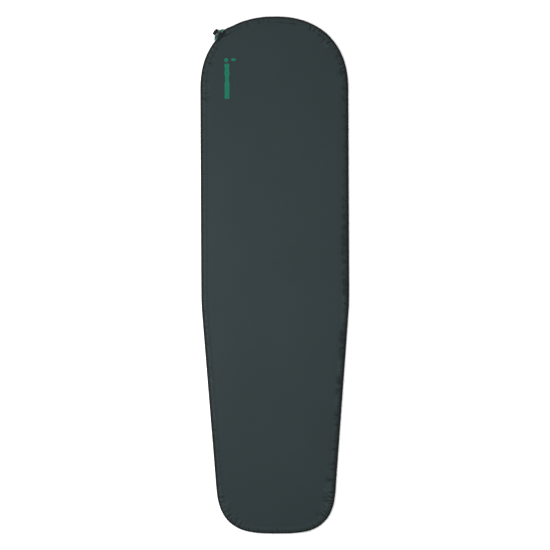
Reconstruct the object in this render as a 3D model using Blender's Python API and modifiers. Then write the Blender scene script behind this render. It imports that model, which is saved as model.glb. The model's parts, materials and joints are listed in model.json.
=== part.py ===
"""Self-inflating sleeping pad: a laterally cored foam slab bonded between two fabric shells
that are welded together round their edge, with a twist valve in the head corner.

The pad lies on its back face.  +Y runs to the head, +X to the right when the pad is seen from
above with its head at the top, +Z up.  The origin is the centre of the underside.  Lengths in
the code are millimetres and angles are degrees unless marked; the objects are in metres.
"""

import math
from bisect import bisect_right

import bmesh
import bpy
from mathutils import Matrix, Vector

MM = 0.001

# ---------------------------------------------------------------- edge of the pad
PAD_LENGTH = 1830.0        # over the welded edge
PAD_WIDTH = 524.0          # at the shoulders, over the welded edge
HEAD_DEPTH = 260.0         # length of the rounded head end
HEAD_POWER = 2.28          # superellipse exponent of the head end
FOOT_DEPTH = 176.0
FOOT_POWER = 3.0
TAPER_START_Y = -99.0      # the sides are parallel above this and narrow below it
TAPER_SLOPE = 0.0775       # loss of half width per unit length
TAPER_EASE = 16.0          # softness of the change of direction
EDGE_SAMPLES = 700         # points on each of the head, side and foot of one half
TANGENT_REACH = 3.0        # the edge's direction is taken over this distance either way
# centre, reach and height of places where the edge stands proud of the even curve:
# the wider seam on the head side of the valve, and the fuller right corner of the foot
FULLER = (
    ((-172.0, 868.0), 21.0, 5.0),
    ((163.0, -876.0), 80.0, 4.0),
)

# ---------------------------------------------------------------- mesh columns round the edge
EDGE_TURN = 0.19           # largest turning between two columns, in radians
LONGEST_STEP = 105.0
SHORTEST_STEP = 11.0       # a step is not shrunk for turning once it is below this
STEP_SHRINK = 0.85
FINE_STEP = 3.6            # beside the valve
FINE_REACH = 25.0
# distance from the valve, longest step within it
VALVE_STEPS = ((FINE_REACH, FINE_STEP), (50.0, 9.0), (120.0, 22.0))
END_CLEARANCE = 16.0       # no other column this near the middle of the head or foot

# ---------------------------------------------------------------- shells and core
SHELL_WALL = 0.6           # laminated fabric, modelled stiffer than its 0.2 mm
SEAM_GAP = 0.3             # between the two faces of the weld
SEAM_FACE = SEAM_GAP / 2 + SHELL_WALL
SHELL_HALF = 12.4          # from the seam to the flat outer face
MID_Z = SHELL_HALF         # height of the welded seam
FLANGE = 6.0               # width of the welded flange
# inward distance from the edge, height of the outer face above the seam
SHELL_PROFILE = (
    (0.0, SEAM_FACE), (FLANGE, SEAM_FACE), (8.4, 5.2), (11.5, 9.3), (17.0, 11.7),
    (26.0, SHELL_HALF),
)
# inward distance from the edge, half height of the slab
CORE_PROFILE = ((12.0, 5.6), (14.0, 8.8), (18.5, 10.6), (25.0, 11.2))
CORE_CHANNELS = 22         # round channels drilled across the slab
CHANNEL_RADIUS = 6.0
CHANNEL_PITCH = 74.0
NOTCH_WIDTH = 29.0         # the notch in the core clears the valve
NOTCH_DEPTH = 27.0

# ---------------------------------------------------------------- printed mark
MARK_X, MARK_Y = -167.8, 684.6
MARK_GAP = 0.05            # between the shell and the film
MARK_FILM = 0.15
# name, width, length, corner radius, steps per corner, offset in x and y
MARK_PIECES = (
    ("mark_bar", 15.4, 124.0, 5.0, 3, 0.0, 0.0),
    ("mark_disc", 14.0, 14.0, 6.9, 4, -1.4, 74.6),
    ("mark_dash", 17.0, 9.0, 4.4, 3, 24.0, 76.2),
)

# ---------------------------------------------------------------- valve
VALVE_X = -192.4           # where its axis leaves the edge of the pad
VALVE_ANGLE = 140.8        # direction of its axis, from +X towards +Y
VALVE_PROUD = 0.8          # its origin stands this far outside the edge
SEG = 30                   # steps round most turned pieces

BOAT_HALF = 24.0           # half length of the weld base along the seam
BOAT_SPREAD = 13.0
BOAT_MIN = 0.3             # least half height of its section
BOAT_POINTS = 13           # points on each half of its section
BOAT_GAP = 0.80            # shell's outer face above the seam, beyond the raised base
BOAT_SWELL = 1.03          # the shell rises this many times the base's height
BOAT_REACH = 75.0          # the shells are shaped over the base within this distance
# distance along the valve's axis, scale of the section's height
BOAT_RIBS = (
    (-10.5, 1.0), (-8.7, 1.0), (-8.5, 0.965), (-6.9, 0.965), (-6.7, 1.0), (-4.9, 1.0),
    (-4.7, 0.965), (-3.1, 0.965), (-2.9, 1.0), (-0.6, 1.0),
)
BASE_R = 9.6
BASE_BORE = 8.0            # radius

BARREL_R = 7.8
BARREL_BORE = 6.3          # radius of the wide parts of the bore
BARREL_GLAND = (-3.4, -1.8)     # O-ring grooves, from and to along the axis
WING_GLANDS = ((2.35, 3.55), (8.8, 10.0))
PLUG_GLAND = (20.35, 21.45)
GLAND_R = 7.1              # floor of the grooves under the wing collar

WING_SEAT_R = 8.1
WING_BORE = 8.3
WING_R = 10.9
WING_Z = (2.1, 10.4)
WING_TURN = 90.0
LIFT = 2.0                 # travel of the lifter over the whole turn of the wings
PIN_Z = 7.2
PIN_LOW_Z = PIN_Z - LIFT
PIN_R = 1.0
CAM_OVERRUN = 10.0         # extra angle at each end of a cam groove

CAP_R = 11.4
CAP_BORE = 8.3
CAP_MOUTH = 4.3            # radius of the hole in its outer end
CAP_Z = (11.7, 23.0)
CAP_ROOF = 20.1            # inner face of its outer end
CAP_TURN = 180.0
CAP_RISE = 3.5
CAP_OVERRUN = 11.0         # extra angle at each end of a cap groove
LUG_Z = 13.6
LUG_R = 0.95

POST_R = 3.8               # head of the plug post


# ---------------------------------------------------------------- edge curve
def taper(y):
    """Loss of half width at a point y along the pad."""
    ease = min(60.0, (TAPER_START_Y - y) / TAPER_EASE)
    return TAPER_SLOPE * TAPER_EASE * math.log1p(math.exp(ease))


def edge_half(samples):
    """Right-hand half of the edge, from the middle of the head to the middle of the foot."""
    half, end = PAD_WIDTH / 2, PAD_LENGTH / 2
    top, bottom = end - HEAD_DEPTH, -end + FOOT_DEPTH
    points = []
    for i in range(samples):
        t = math.pi / 2 * i / samples
        points.append((half * math.sin(t) ** (2 / HEAD_POWER),
                       top + HEAD_DEPTH * math.cos(t) ** (2 / HEAD_POWER)))
    for i in range(samples):
        y = top + (bottom - top) * i / samples
        points.append((half - taper(y), y))
    for i in range(samples + 1):
        t = math.pi / 2 * i / samples
        y = bottom - FOOT_DEPTH * math.sin(t) ** (2 / FOOT_POWER)
        points.append(((half - taper(y)) * max(0.0, math.cos(t)) ** (2 / FOOT_POWER), y))
    return points


def edge_loop():
    """The whole edge, closely spaced, anticlockwise seen from above, starting at the head."""
    right = edge_half(EDGE_SAMPLES)
    loop = [(-x, y) for x, y in right] + right[-2:0:-1]
    found = []
    for i, (x, y) in enumerate(loop):
        (x0, y0), (x1, y1) = loop[i - 1], loop[(i + 1) % len(loop)]
        chord = math.hypot(x1 - x0, y1 - y0)
        widen = sum(height * math.exp(-((x - cx) ** 2 + (y - cy) ** 2) / reach ** 2)
                    for (cx, cy), reach, height in FULLER)
        found.append((x + widen * (y1 - y0) / chord, y - widen * (x1 - x0) / chord))
    return found


LOOP = edge_loop()
LENGTHS = [0.0]            # arc length at each point of LOOP, then the whole perimeter
for (x0, y0), (x1, y1) in zip(LOOP, LOOP[1:] + LOOP[:1]):
    LENGTHS.append(LENGTHS[-1] + math.hypot(x1 - x0, y1 - y0))
PERIMETER = LENGTHS[-1]


def edge_point(arc):
    """Point of the edge at an arc length."""
    arc %= PERIMETER
    i = bisect_right(LENGTHS, arc, 0, len(LOOP)) - 1
    (x0, y0), (x1, y1) = LOOP[i], LOOP[(i + 1) % len(LOOP)]
    t = (arc - LENGTHS[i]) / max(1e-9, LENGTHS[i + 1] - LENGTHS[i])
    return Vector((x0 + (x1 - x0) * t, y0 + (y1 - y0) * t))


def edge_out(arc):
    """Outward direction of the edge at an arc length."""
    along = (edge_point(arc + TANGENT_REACH) - edge_point(arc - TANGENT_REACH)).normalized()
    return Vector((along.y, -along.x))


VALVE_ARC = min((arc for arc, (x, y) in zip(LENGTHS, LOOP) if x < 0 and y > 0),
                key=lambda arc: abs(edge_point(arc).x - VALVE_X))
VALVE_OUT = Vector((math.cos(math.radians(VALVE_ANGLE)), math.sin(math.radians(VALVE_ANGLE))))
VALVE_POINT = edge_point(VALVE_ARC) + VALVE_OUT * VALVE_PROUD
VALVE_SIDE = Vector((-VALVE_OUT.y, VALVE_OUT.x))


def stations():
    """Arc lengths of the mesh columns: close together on tight curves and round the valve."""
    found = []
    arc = VALVE_ARC
    while arc < VALVE_ARC + PERIMETER - 2.0:
        found.append(arc)
        left = VALVE_ARC + PERIMETER - arc
        away = min(arc - VALVE_ARC, left)
        step = LONGEST_STEP
        while (step > SHORTEST_STEP
               and (edge_out(arc + step) - edge_out(arc)).length > EDGE_TURN):
            step *= STEP_SHRINK
        step = min(step, next((limit for reach, limit in VALVE_STEPS if away < reach), step))
        if left > FINE_REACH:
            # land just inside the fine zone on the way back to the valve
            step = min(step, max(FINE_STEP, left - FINE_REACH + 0.5))
        arc += step
    foot = min(range(len(LOOP)), key=lambda i: LOOP[i][1])
    ends = [PERIMETER, LENGTHS[foot]]
    return sorted([arc for arc in found
                   if min(abs(arc - end) for end in ends) > END_CLEARANCE] + ends)


COLUMNS = [(edge_point(arc), edge_out(arc)) for arc in stations()]


def boat(along):
    """Half height of the weld base at a distance along the seam from the valve's axis."""
    return BASE_R * math.exp(-((along / BOAT_SPREAD) ** 2))


def over_boat(along):
    """Height above the seam of a shell's outer face where it passes over the weld base."""
    slope = 2 * along / BOAT_SPREAD ** 2 * boat(along)
    return BOAT_GAP + boat(along) * BOAT_SWELL + SHELL_WALL * (math.sqrt(1 + slope * slope) - 1)


def edge_drop(along):
    """Height of the edge on the valve's axis at a distance along the seam from the valve."""
    return (edge_point(VALVE_ARC + along) - VALVE_POINT).dot(VALVE_OUT)


# ---------------------------------------------------------------- scene and materials
for old in list(bpy.data.objects):
    bpy.data.objects.remove(old, do_unlink=True)

PARTS = bpy.data.collections.new("sleeping_pad")
CUTTERS = bpy.data.collections.new("cutters")
for group in (PARTS, CUTTERS):
    bpy.context.scene.collection.children.link(group)


def material(name, colour, roughness, metallic=0.0):
    made = bpy.data.materials.new(name)
    made.use_nodes = True
    shader = made.node_tree.nodes["Principled BSDF"]
    shader.inputs["Base Color"].default_value = (*colour, 1.0)
    shader.inputs["Roughness"].default_value = roughness
    shader.inputs["Metallic"].default_value = metallic
    made.diffuse_color = (*colour, 1.0)
    return made


FABRIC = material("shell_fabric", colour=(0.040, 0.056, 0.060), roughness=0.85)
FOAM = material("core_foam", colour=(0.62, 0.60, 0.50), roughness=0.95)
PRINT = material("print_green", colour=(0.020, 0.180, 0.115), roughness=0.6)
BLACK = material("valve_black", colour=(0.013, 0.018, 0.019), roughness=0.45)
GREY = material("valve_grey", colour=(0.060, 0.065, 0.068), roughness=0.35)
GREEN = material("wing_green", colour=(0.020, 0.190, 0.120), roughness=0.4)
NATURAL = material("valve_natural", colour=(0.55, 0.56, 0.55), roughness=0.5)
SEAL = material("seal_rubber", colour=(0.02, 0.02, 0.02), roughness=0.7)
SILICONE = material("silicone", colour=(0.60, 0.62, 0.62), roughness=0.5)
STEEL = material("steel", colour=(0.55, 0.56, 0.57), roughness=0.3, metallic=1.0)


# ---------------------------------------------------------------- helpers
def add_object(name, mesh, skin=None, parent=None, location=(0, 0, 0)):
    """A part with the material `skin`, or without one a hidden helper for the booleans."""
    made = bpy.data.objects.new(name, mesh)
    made.location = Vector(location) * MM
    made.parent = parent
    if skin:
        PARTS.objects.link(made)
        mesh.materials.append(skin)
    else:
        CUTTERS.objects.link(made)
        made.hide_render = True
        made.display_type = "WIRE"
    return made


def mesh_from(name, points, faces):
    mesh = bpy.data.meshes.new(name)
    mesh.from_pydata([Vector(p) * MM for p in points], [], faces)
    mesh.update()
    return mesh


def mesh_of(name, solid):
    """The mesh of a bmesh, which is freed."""
    mesh = bpy.data.meshes.new(name)
    solid.to_mesh(mesh)
    solid.free()
    return mesh


def loft_faces(rings, count, first_cap=True):
    """Faces joining rings of `count` points, with a cap on the last and perhaps the first."""
    faces = []
    for k in range(rings - 1):
        for i in range(count):
            j = (i + 1) % count
            faces.append((k * count + i, k * count + j,
                          (k + 1) * count + j, (k + 1) * count + i))
    if first_cap:
        faces.append(tuple(range(count))[::-1])
    faces.append(tuple(range((rings - 1) * count, rings * count)))
    return faces


def smooth(made):
    made.data.shade_smooth()
    made.data.set_sharp_from_angle(angle=math.radians(40))


def turned(name, profile, skin=None, parent=None, seg=SEG):
    """A piece turned about the parent's Z axis.  The profile lists (radius, height), and is
    closed unless it starts and ends on the axis."""
    mesh = bpy.data.meshes.new(name)
    points = [Vector((radius, 0, z)) * MM for radius, z in profile]
    edges = [(i, i + 1) for i in range(len(points) - 1)]
    if min(radius for radius, _ in profile) > 0.0:
        edges.append((len(points) - 1, 0))
    mesh.from_pydata(points, edges, [])
    made = add_object(name, mesh, skin, parent)
    screw = made.modifiers.new("turn", "SCREW")
    screw.axis = "Z"
    screw.angle = 2 * math.pi
    screw.steps = screw.render_steps = seg
    screw.use_merge_vertices = True
    screw.merge_threshold = 0.00001
    screw.use_smooth_shade = True
    return made


def o_ring(name, major, minor, gland, parent, seg=24):
    """A rubber ring midway along its groove."""
    bpy.ops.mesh.primitive_torus_add(major_segments=seg, minor_segments=6,
                                     major_radius=major * MM, minor_radius=minor * MM)
    made = bpy.context.active_object
    made.name = made.data.name = name
    for group in list(made.users_collection):
        group.objects.unlink(made)
    PARTS.objects.link(made)
    made.parent = parent
    made.location = (0, 0, sum(gland) / 2 * MM)
    made.data.materials.append(SEAL)
    made.data.shade_smooth()


def box(name, size, matrix, parent=None):
    """A helper box placed by a matrix."""
    solid = bmesh.new()
    bmesh.ops.create_cube(solid, size=1.0, matrix=Matrix.Diagonal((*(Vector(size) * MM), 1.0)))
    made = add_object(name, mesh_of(name, solid), parent=parent)
    made.matrix_local = matrix
    return made


def block(name, size, centre, parent, turn=0.0):
    """A helper box turned, with its centre, about the parent's Z axis."""
    return box(name, size, Matrix.Rotation(math.radians(turn), 4, "Z")
               @ Matrix.Translation(Vector(centre) * MM), parent)


def rod(name, radius, length, centre, axis, skin=None, parent=None, seg=16):
    """A round bar along the parent's X, Y or Z axis."""
    solid = bmesh.new()
    bmesh.ops.create_cone(solid, cap_ends=True, segments=seg, radius1=radius * MM,
                          radius2=radius * MM, depth=length * MM)
    made = add_object(name, mesh_of(name, solid), skin, parent, centre)
    if axis == "X":
        made.rotation_euler = (0, math.pi / 2, 0)
    elif axis == "Y":
        made.rotation_euler = (math.pi / 2, 0, 0)
    return made


def helix_cutter(name, radii, half, datum, sweep, height, slope, parent):
    """A cutter for a helical groove: a rectangle swept round the axis.  The sweep's two angles
    are measured from `datum`, where the groove is at `height`; slope is its rise per degree."""
    start, end = sweep
    count = max(2, round(abs(end - start) / 9.0)) + 1
    r_in, r_out = radii
    points = []
    for i in range(count):
        angle = start + (end - start) * i / (count - 1)
        c, s = math.cos(math.radians(datum + angle)), math.sin(math.radians(datum + angle))
        z = height + slope * angle
        points += [(r_in * c, r_in * s, z - half), (r_out * c, r_out * s, z - half),
                   (r_out * c, r_out * s, z + half), (r_in * c, r_in * s, z + half)]
    faces = loft_faces(count, 4)
    if end > start:
        # keeps the faces outward when the sweep runs anticlockwise
        faces = [face[::-1] for face in faces]
    return add_object(name, mesh_from(name, points, faces), parent=parent)


def boolean(made, other, operation):
    modifier = made.modifiers.new(other.name, "BOOLEAN")
    modifier.operation = operation
    modifier.object = other
    modifier.solver = "EXACT"


def cut(made, other):
    boolean(made, other, "DIFFERENCE")


def join(made, other):
    boolean(made, other, "UNION")


def empty(name, parent=None):
    made = bpy.data.objects.new(name, None)
    PARTS.objects.link(made)
    made.empty_display_size = 0.01
    made.parent = parent
    return made


# ---------------------------------------------------------------- pad
def build_shell(name, side):
    """One fabric shell: an open lofted sheet from the welded edge to the flat face, given its
    wall by Solidify.  side is 1 for the upper shell and -1 for the lower one."""
    points = []
    for inset, height in SHELL_PROFILE:
        for edge, out in COLUMNS:
            place = edge - out * inset
            offset = place - VALVE_POINT
            lift = height
            if offset.length < BOAT_REACH:
                lift = max(height, over_boat(offset.dot(VALVE_SIDE)))
            points.append((place.x, place.y, MID_Z + side * min(lift, SHELL_HALF)))
    faces = loft_faces(len(SHELL_PROFILE), len(COLUMNS), first_cap=False)
    if side < 0:
        faces = [face[::-1] for face in faces]
    made = add_object(name, mesh_from(name, points, faces), FABRIC)
    wall = made.modifiers.new("fabric", "SOLIDIFY")
    wall.thickness = SHELL_WALL * MM
    wall.offset = -1.0
    wall.use_even_offset = True
    smooth(made)


def build_core():
    """The foam slab, with its cross channels and the notch that clears the valve."""
    rings = [(inset, -height) for inset, height in reversed(CORE_PROFILE)] + list(CORE_PROFILE)
    points = []
    for inset, height in rings:
        for edge, out in COLUMNS:
            place = edge - out * inset
            points.append((place.x, place.y, MID_Z + height))
    faces = loft_faces(len(rings), len(COLUMNS))
    core = add_object("foam_core", mesh_from("foam_core", points, faces), FOAM)
    smooth(core)
    for i in range(CORE_CHANNELS):
        y = (i - (CORE_CHANNELS - 1) / 2) * CHANNEL_PITCH
        cut(core, rod(f"channel_{i + 1:02d}", CHANNEL_RADIUS, PAD_WIDTH + 60, (0, y, MID_Z),
                      "X", seg=8))
    cut(core, box("valve_notch", (NOTCH_WIDTH, 2 * NOTCH_DEPTH, 40),
                  Matrix.Translation(Vector((*VALVE_POINT, MID_Z)) * MM)
                  @ Matrix.Rotation(math.radians(VALVE_ANGLE - 90), 4, "Z")))


def rounded(width, length, radius, seg):
    """Corner points of a rounded rectangle."""
    found = []
    for cx, cy, start in ((1, 1, 0), (-1, 1, 90), (-1, -1, 180), (1, -1, 270)):
        for i in range(seg + 1):
            angle = math.radians(start + 90 * i / seg)
            found.append((cx * (width / 2 - radius) + radius * math.cos(angle),
                          cy * (length / 2 - radius) + radius * math.sin(angle)))
    return found


def build_film(name, outline, x, y):
    """A piece of transfer film: a flat filled outline with half its thickness of extrusion."""
    curve = bpy.data.curves.new(name, "CURVE")
    curve.dimensions = "2D"
    curve.fill_mode = "BOTH"
    curve.extrude = MARK_FILM / 2 * MM
    line = curve.splines.new("POLY")
    line.points.add(len(outline) - 1)
    for point, (px, py) in zip(line.points, outline):
        point.co = (px * MM, py * MM, 0, 1)
    line.use_cyclic_u = True
    made = bpy.data.objects.new(name, curve)
    PARTS.objects.link(made)
    made.location = Vector((x, y, MID_Z + SHELL_HALF + MARK_GAP + MARK_FILM / 2)) * MM
    curve.materials.append(PRINT)


# ---------------------------------------------------------------- valve body
def build_frame():
    """The valve's frame: X runs along the seam, Y up and Z outwards along the valve."""
    frame = empty("valve_frame")
    axes = Matrix(((*VALVE_SIDE, 0), (0, 0, 1), (*VALVE_OUT, 0))).transposed().to_4x4()
    frame.matrix_local = Matrix.Translation(Vector((*VALVE_POINT, MID_Z)) * MM) @ axes
    return frame


def build_base(valve):
    """Weld base: a boat-shaped section between the shells, with a tube through it."""
    across = [BOAT_HALF * math.cos(math.pi * i / (BOAT_POINTS - 1)) for i in range(BOAT_POINTS)]
    section = ([(x, max(BOAT_MIN, boat(x))) for x in across]
               + [(x, -max(BOAT_MIN, boat(x))) for x in reversed(across)])
    points = []
    for z, scale in BOAT_RIBS:
        # the thin ends keep their full height
        points += [(x, y * (scale if abs(y) > 0.5 else 1.0), z + edge_drop(x))
                   for x, y in section]
    faces = loft_faces(len(BOAT_RIBS), len(section))
    base = add_object("valve_base", mesh_from("valve_base", points, faces), BLACK, valve)
    join(base, turned("base_tube", [
        (0.0, 0.9), (BASE_R + 1.0, 0.9), (BASE_R + 1.0, 0.25), (BASE_R - 0.05, 0.1),
        (BASE_R - 0.05, -15.2), (BASE_R - 0.8, -16.0), (0.0, -16.0)], parent=valve))
    cut(base, rod("base_bore", BASE_BORE, 40, (0, 0, -5), "Z", parent=valve, seg=SEG))
    smooth(base)


def build_barrel(valve):
    """Barrel, with slots for the cross pin and helical grooves for the cap's lugs."""
    (inner_low, inner_high), (outer_low, outer_high) = WING_GLANDS
    gland_low, gland_high = BARREL_GLAND
    barrel = turned("valve_barrel", [
        # outside, from the cap's end to the inlet
        (8.0, 18.8), (8.0, 11.4), (7.2, 11.4), (7.2, 10.6),
        (WING_SEAT_R, 10.6), (WING_SEAT_R, outer_high), (GLAND_R, outer_high),
        (GLAND_R, outer_low), (WING_SEAT_R, outer_low), (WING_SEAT_R, inner_high),
        (GLAND_R, inner_high), (GLAND_R, inner_low), (WING_SEAT_R, inner_low),
        (WING_SEAT_R, 1.9), (9.8, 1.9), (9.8, 1.1), (BARREL_R, 1.1),
        (BARREL_R, gland_high), (6.7, gland_high), (6.7, gland_low), (BARREL_R, gland_low),
        (BARREL_R, -16.2), (7.0, -16.2), (7.0, -17.2), (BARREL_R, -17.2), (BARREL_R, -20.0),
        # bore, back up to the cap's end
        (6.9, -20.0), (6.9, -18.6), (BARREL_BORE, -18.6), (BARREL_BORE, -9.0),
        (6.7, -9.0), (6.7, -8.1), (BARREL_BORE, -8.1), (BARREL_BORE, -4.8),
        (5.4, -4.8), (5.4, 11.7), (BARREL_BORE, 11.7), (BARREL_BORE, 18.8)], BLACK, valve)
    for i in range(2):
        start = 90 + 180 * i
        cut(barrel, block(f"pin_slot_{i}", (2 * PIN_R + 0.5, 6.0, LIFT + 2 * PIN_R + 0.4),
                          (0, 7.0, PIN_Z - LIFT / 2), valve, turn=180 * i))
        cut(barrel, helix_cutter(
            f"cap_groove_{i}", radii=(7.1, 8.6), half=1.3, datum=start,
            sweep=(-CAP_OVERRUN, CAP_TURN + CAP_OVERRUN), height=LUG_Z,
            slope=CAP_RISE / CAP_TURN, parent=valve))
        cut(barrel, block(f"cap_entry_{i}", (2.6, 1.5, 3.0), (0, 7.85, 18.3), valve,
                          turn=start - 90 + CAP_TURN + 8))


def build_snap_ring(name, r_in, r_out, z_low, z_high, gap, at, skin, valve):
    """A snap ring with a gap of the given angle, centred on the angle `at`."""
    ring = turned(name, [(r_out, z_high), (r_out, z_low), (r_in, z_low), (r_in, z_high)],
                  skin, valve)
    width = 2 * r_out * math.sin(math.radians(gap / 2))
    cut(ring, block(name + "_gap", (width, r_out, 4), (0, r_out, (z_low + z_high) / 2),
                    valve, turn=at - 90))


def build_barrel_rings(valve):
    o_ring("barrel_o_ring", 7.3, 0.52, BARREL_GLAND, valve)
    o_ring("wing_o_ring_inner", 7.68, 0.48, WING_GLANDS[0], valve)
    o_ring("wing_o_ring_outer", 7.68, 0.48, WING_GLANDS[1], valve)
    # name, inner and outer radius, from and to in z, gap and its place, material
    for ring in (
            ("wing_clip", 7.35, 9.6, 10.65, 11.3, 40, 90, STEEL),
            ("barrel_lock_ring", 7.15, 9.2, -17.1, -16.3, 40, 270, NATURAL),
            ("seat_retainer", 5.45, 6.55, -8.9, -8.2, 30, 270, STEEL)):
        build_snap_ring(*ring, valve)


def build_seat(valve):
    """Check valve seat: rim, three spokes and a hub that guides the poppet."""
    seat = turned("check_seat", [(6.15, -4.95), (6.15, -8.05), (4.3, -8.05), (4.3, -4.95)],
                  NATURAL, valve)
    for i in range(3):
        join(seat, block(f"seat_spoke_{i}", (1.2, 3.4, 1.6), (0, 3.2, -6.9), valve,
                         turn=120 * i))
    join(seat, turned("seat_hub", [(0.0, -6.0), (2.2, -6.0), (2.2, -7.9), (0.0, -7.9)],
                      parent=valve, seg=16))
    cut(seat, rod("seat_hub_bore", 1.3, 8, (0, 0, -7), "Z", parent=valve))


def build_screen(valve):
    """Inlet screen and the ring that holds it in the barrel's mouth."""
    screen = turned("inlet_screen",
                    [(0.0, -18.7), (6.75, -18.7), (6.75, -19.25), (0.0, -19.25)],
                    NATURAL, valve)
    for ring_r, count in ((0.0, 1), (2.1, 6), (4.2, 10)):
        for i in range(count):
            angle = 2 * math.pi * i / count
            centre = (ring_r * math.cos(angle), ring_r * math.sin(angle), -19)
            cut(screen, rod(f"mesh_{int(ring_r)}_{i}", 0.62, 3, centre, "Z",
                            parent=valve, seg=6))
    turned("screen_retainer", [(6.75, -19.35), (6.75, -20.0), (5.6, -20.0), (5.6, -19.35)],
           NATURAL, valve)


def build_plug(valve):
    """Plug: a post on a three-spoked spider, closing the mouth in the cap."""
    top = CAP_Z[1] + 0.1
    gland_low, gland_high = PLUG_GLAND
    plug = turned("plug_post", [
        (0.0, top), (POST_R, top), (POST_R, gland_high), (3.1, gland_high), (3.1, gland_low),
        (POST_R, gland_low), (POST_R, 17.4), (2.3, 16.2), (2.3, 11.9), (0.0, 11.9)],
        BLACK, valve, seg=24)
    for i in range(3):
        join(plug, block(f"plug_spoke_{i}", (1.3, 4.2, 1.3), (0, 3.6, 12.65), valve,
                         turn=60 + 120 * i))
    join(plug, turned("spider_rim", [(6.15, 13.4), (6.15, 11.9), (5.3, 11.9), (5.3, 13.4)],
                      parent=valve))
    o_ring("plug_o_ring", 3.7, 0.48, PLUG_GLAND, valve, seg=20)


# ---------------------------------------------------------------- wing collar
def build_collar(wings):
    """Wing collar, with a cam groove and a pin hole on each side."""
    low, high = WING_Z
    collar = turned("wing_collar", [
        (WING_R - 0.5, high), (WING_R, high - 0.5), (WING_R, low + 0.5), (WING_R - 0.5, low),
        (WING_BORE, low), (WING_BORE, high)], GREY, wings)
    for i in range(2):
        cut(collar, helix_cutter(
            f"cam_groove_{i}", radii=(7.7, 9.9), half=PIN_R + 0.3, datum=90 + 180 * i,
            sweep=(CAM_OVERRUN, -WING_TURN - CAM_OVERRUN), height=PIN_Z,
            slope=LIFT / WING_TURN, parent=wings))
        cut(collar, rod(f"pin_hole_{i}", 1.15, 4.0, (10.4 * (1 - 2 * i), 0, PIN_LOW_Z), "X",
                        parent=wings))


def build_wing(name, side, wings):
    """A delta-shaped finger tab on the +X (1) or -X (-1) side of the collar, with the peg
    that plugs the pin hole."""
    # distance from the axis, height
    outline = ((11.05, 2.1), (23.0, 1.3), (24.7, 1.5), (25.5, 2.3), (25.2, 3.3), (14.2, 10.9),
               (12.9, 11.3), (11.05, 11.3))
    points = [(side * x, y, z) for y in (-1.4, 1.4) for x, z in outline]
    n = len(outline)
    faces = [tuple(range(n)), tuple(range(n, 2 * n))[::-1]]
    faces += [(i, i + n, (i + 1) % n + n, (i + 1) % n) for i in range(n)]
    if side < 0:
        faces = [face[::-1] for face in faces]
    made = add_object(name, mesh_from(name, points, faces), GREEN, wings)
    soften = made.modifiers.new("edge", "BEVEL")
    soften.width = 0.45 * MM
    soften.segments = 1
    soften.limit_method = "ANGLE"
    soften.angle_limit = math.radians(60)
    join(made, rod(name + "_peg", 0.95, 1.6, (side * 10.85, 0, PIN_LOW_Z), "X",
                   parent=wings, seg=12))


# ---------------------------------------------------------------- lifter, poppet and cap
def build_lifter(valve):
    """Finned lifter and the steel pin across it."""
    axis = empty("lifter_axis", valve)
    lifter = turned("lifter", [(0.0, 9.2), (2.6, 9.2), (2.6, 5.0), (1.1, 4.2), (1.1, -1.7),
                               (0.0, -1.7)], NATURAL, axis, seg=16)
    for i in range(2):
        join(lifter, block(f"fin_{i}", (1.2, 10.3, 2.5), (0, 0, 1.75), axis, turn=45 + 90 * i))
    cut(lifter, rod("lifter_cross_bore", PIN_R + 0.08, 8, (0, 0, PIN_Z), "Y", parent=axis))
    rod("lifter_cross_pin", PIN_R, 19.2, (0, 0, PIN_Z), "Y", STEEL, axis)


def build_poppet(valve):
    axis = empty("poppet_axis", valve)
    turned("check_poppet", [
        (0.0, -1.9), (0.8, -1.9), (1.6, -2.6), (1.6, -3.5), (1.05, -3.9), (1.05, -8.9),
        (3.8, -8.95), (3.8, -9.9), (0.0, -9.9)], NATURAL, axis, seg=20)
    turned("poppet_seal", [(4.9, -8.15), (4.9, -8.85), (1.25, -8.85), (1.25, -8.15)],
           SILICONE, axis, seg=28)


def build_cap(valve):
    """Cap with its two lugs, and the gasket under its roof."""
    axis = empty("cap_axis", valve)
    low, high = CAP_Z
    cap = turned("cap", [
        (CAP_MOUTH, high), (CAP_R - 1.3, high), (CAP_R, high - 1.3), (CAP_R, low + 0.4),
        (CAP_R - 0.4, low), (CAP_BORE, low), (CAP_BORE, CAP_ROOF), (CAP_MOUTH, CAP_ROOF)],
        BLACK, axis, seg=36)
    for i in range(2):
        join(cap, rod(f"cap_lug_{i}", LUG_R, 1.9, (0, 8.25 * (1 - 2 * i), LUG_Z), "Y",
                      parent=axis, seg=12))
    turned("cap_gasket", [(7.95, 20.0), (7.95, 18.95), (6.5, 18.95), (6.5, 20.0)],
           SILICONE, valve)


def build_valve():
    valve = build_frame()
    for build in (build_base, build_barrel, build_barrel_rings, build_seat, build_screen,
                  build_plug):
        build(valve)
    wings = empty("wing_axis", valve)
    build_collar(wings)
    build_wing("wing_tab_left", 1, wings)
    build_wing("wing_tab_right", -1, wings)
    build_lifter(valve)
    build_poppet(valve)
    build_cap(valve)


build_shell("top_shell", 1)
build_shell("bottom_shell", -1)
build_core()
for name, width, length, radius, seg, dx, dy in MARK_PIECES:
    build_film(name, rounded(width, length, radius, seg), MARK_X + dx, MARK_Y + dy)
build_valve()
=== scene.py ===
"""Looks for the self-inflating sleeping pad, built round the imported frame.

The pad lies flat: head towards +Y, upper face towards +Z, valve on the edge at the head.
The frame is in metres; lengths in the shape code are millimetres.
The cushion is two fabric sheets lofted inwards from the welded edge, puckered where it curves.
The valve is rebuilt finer on the frame's own joint axis.
"""

import json
import math
import random
from functools import cached_property

import bmesh
import bpy
import numpy as np
from mathutils import Matrix, Vector, noise
from mathutils.bvhtree import BVHTree
from mathutils.geometry import delaunay_2d_cdt

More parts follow.
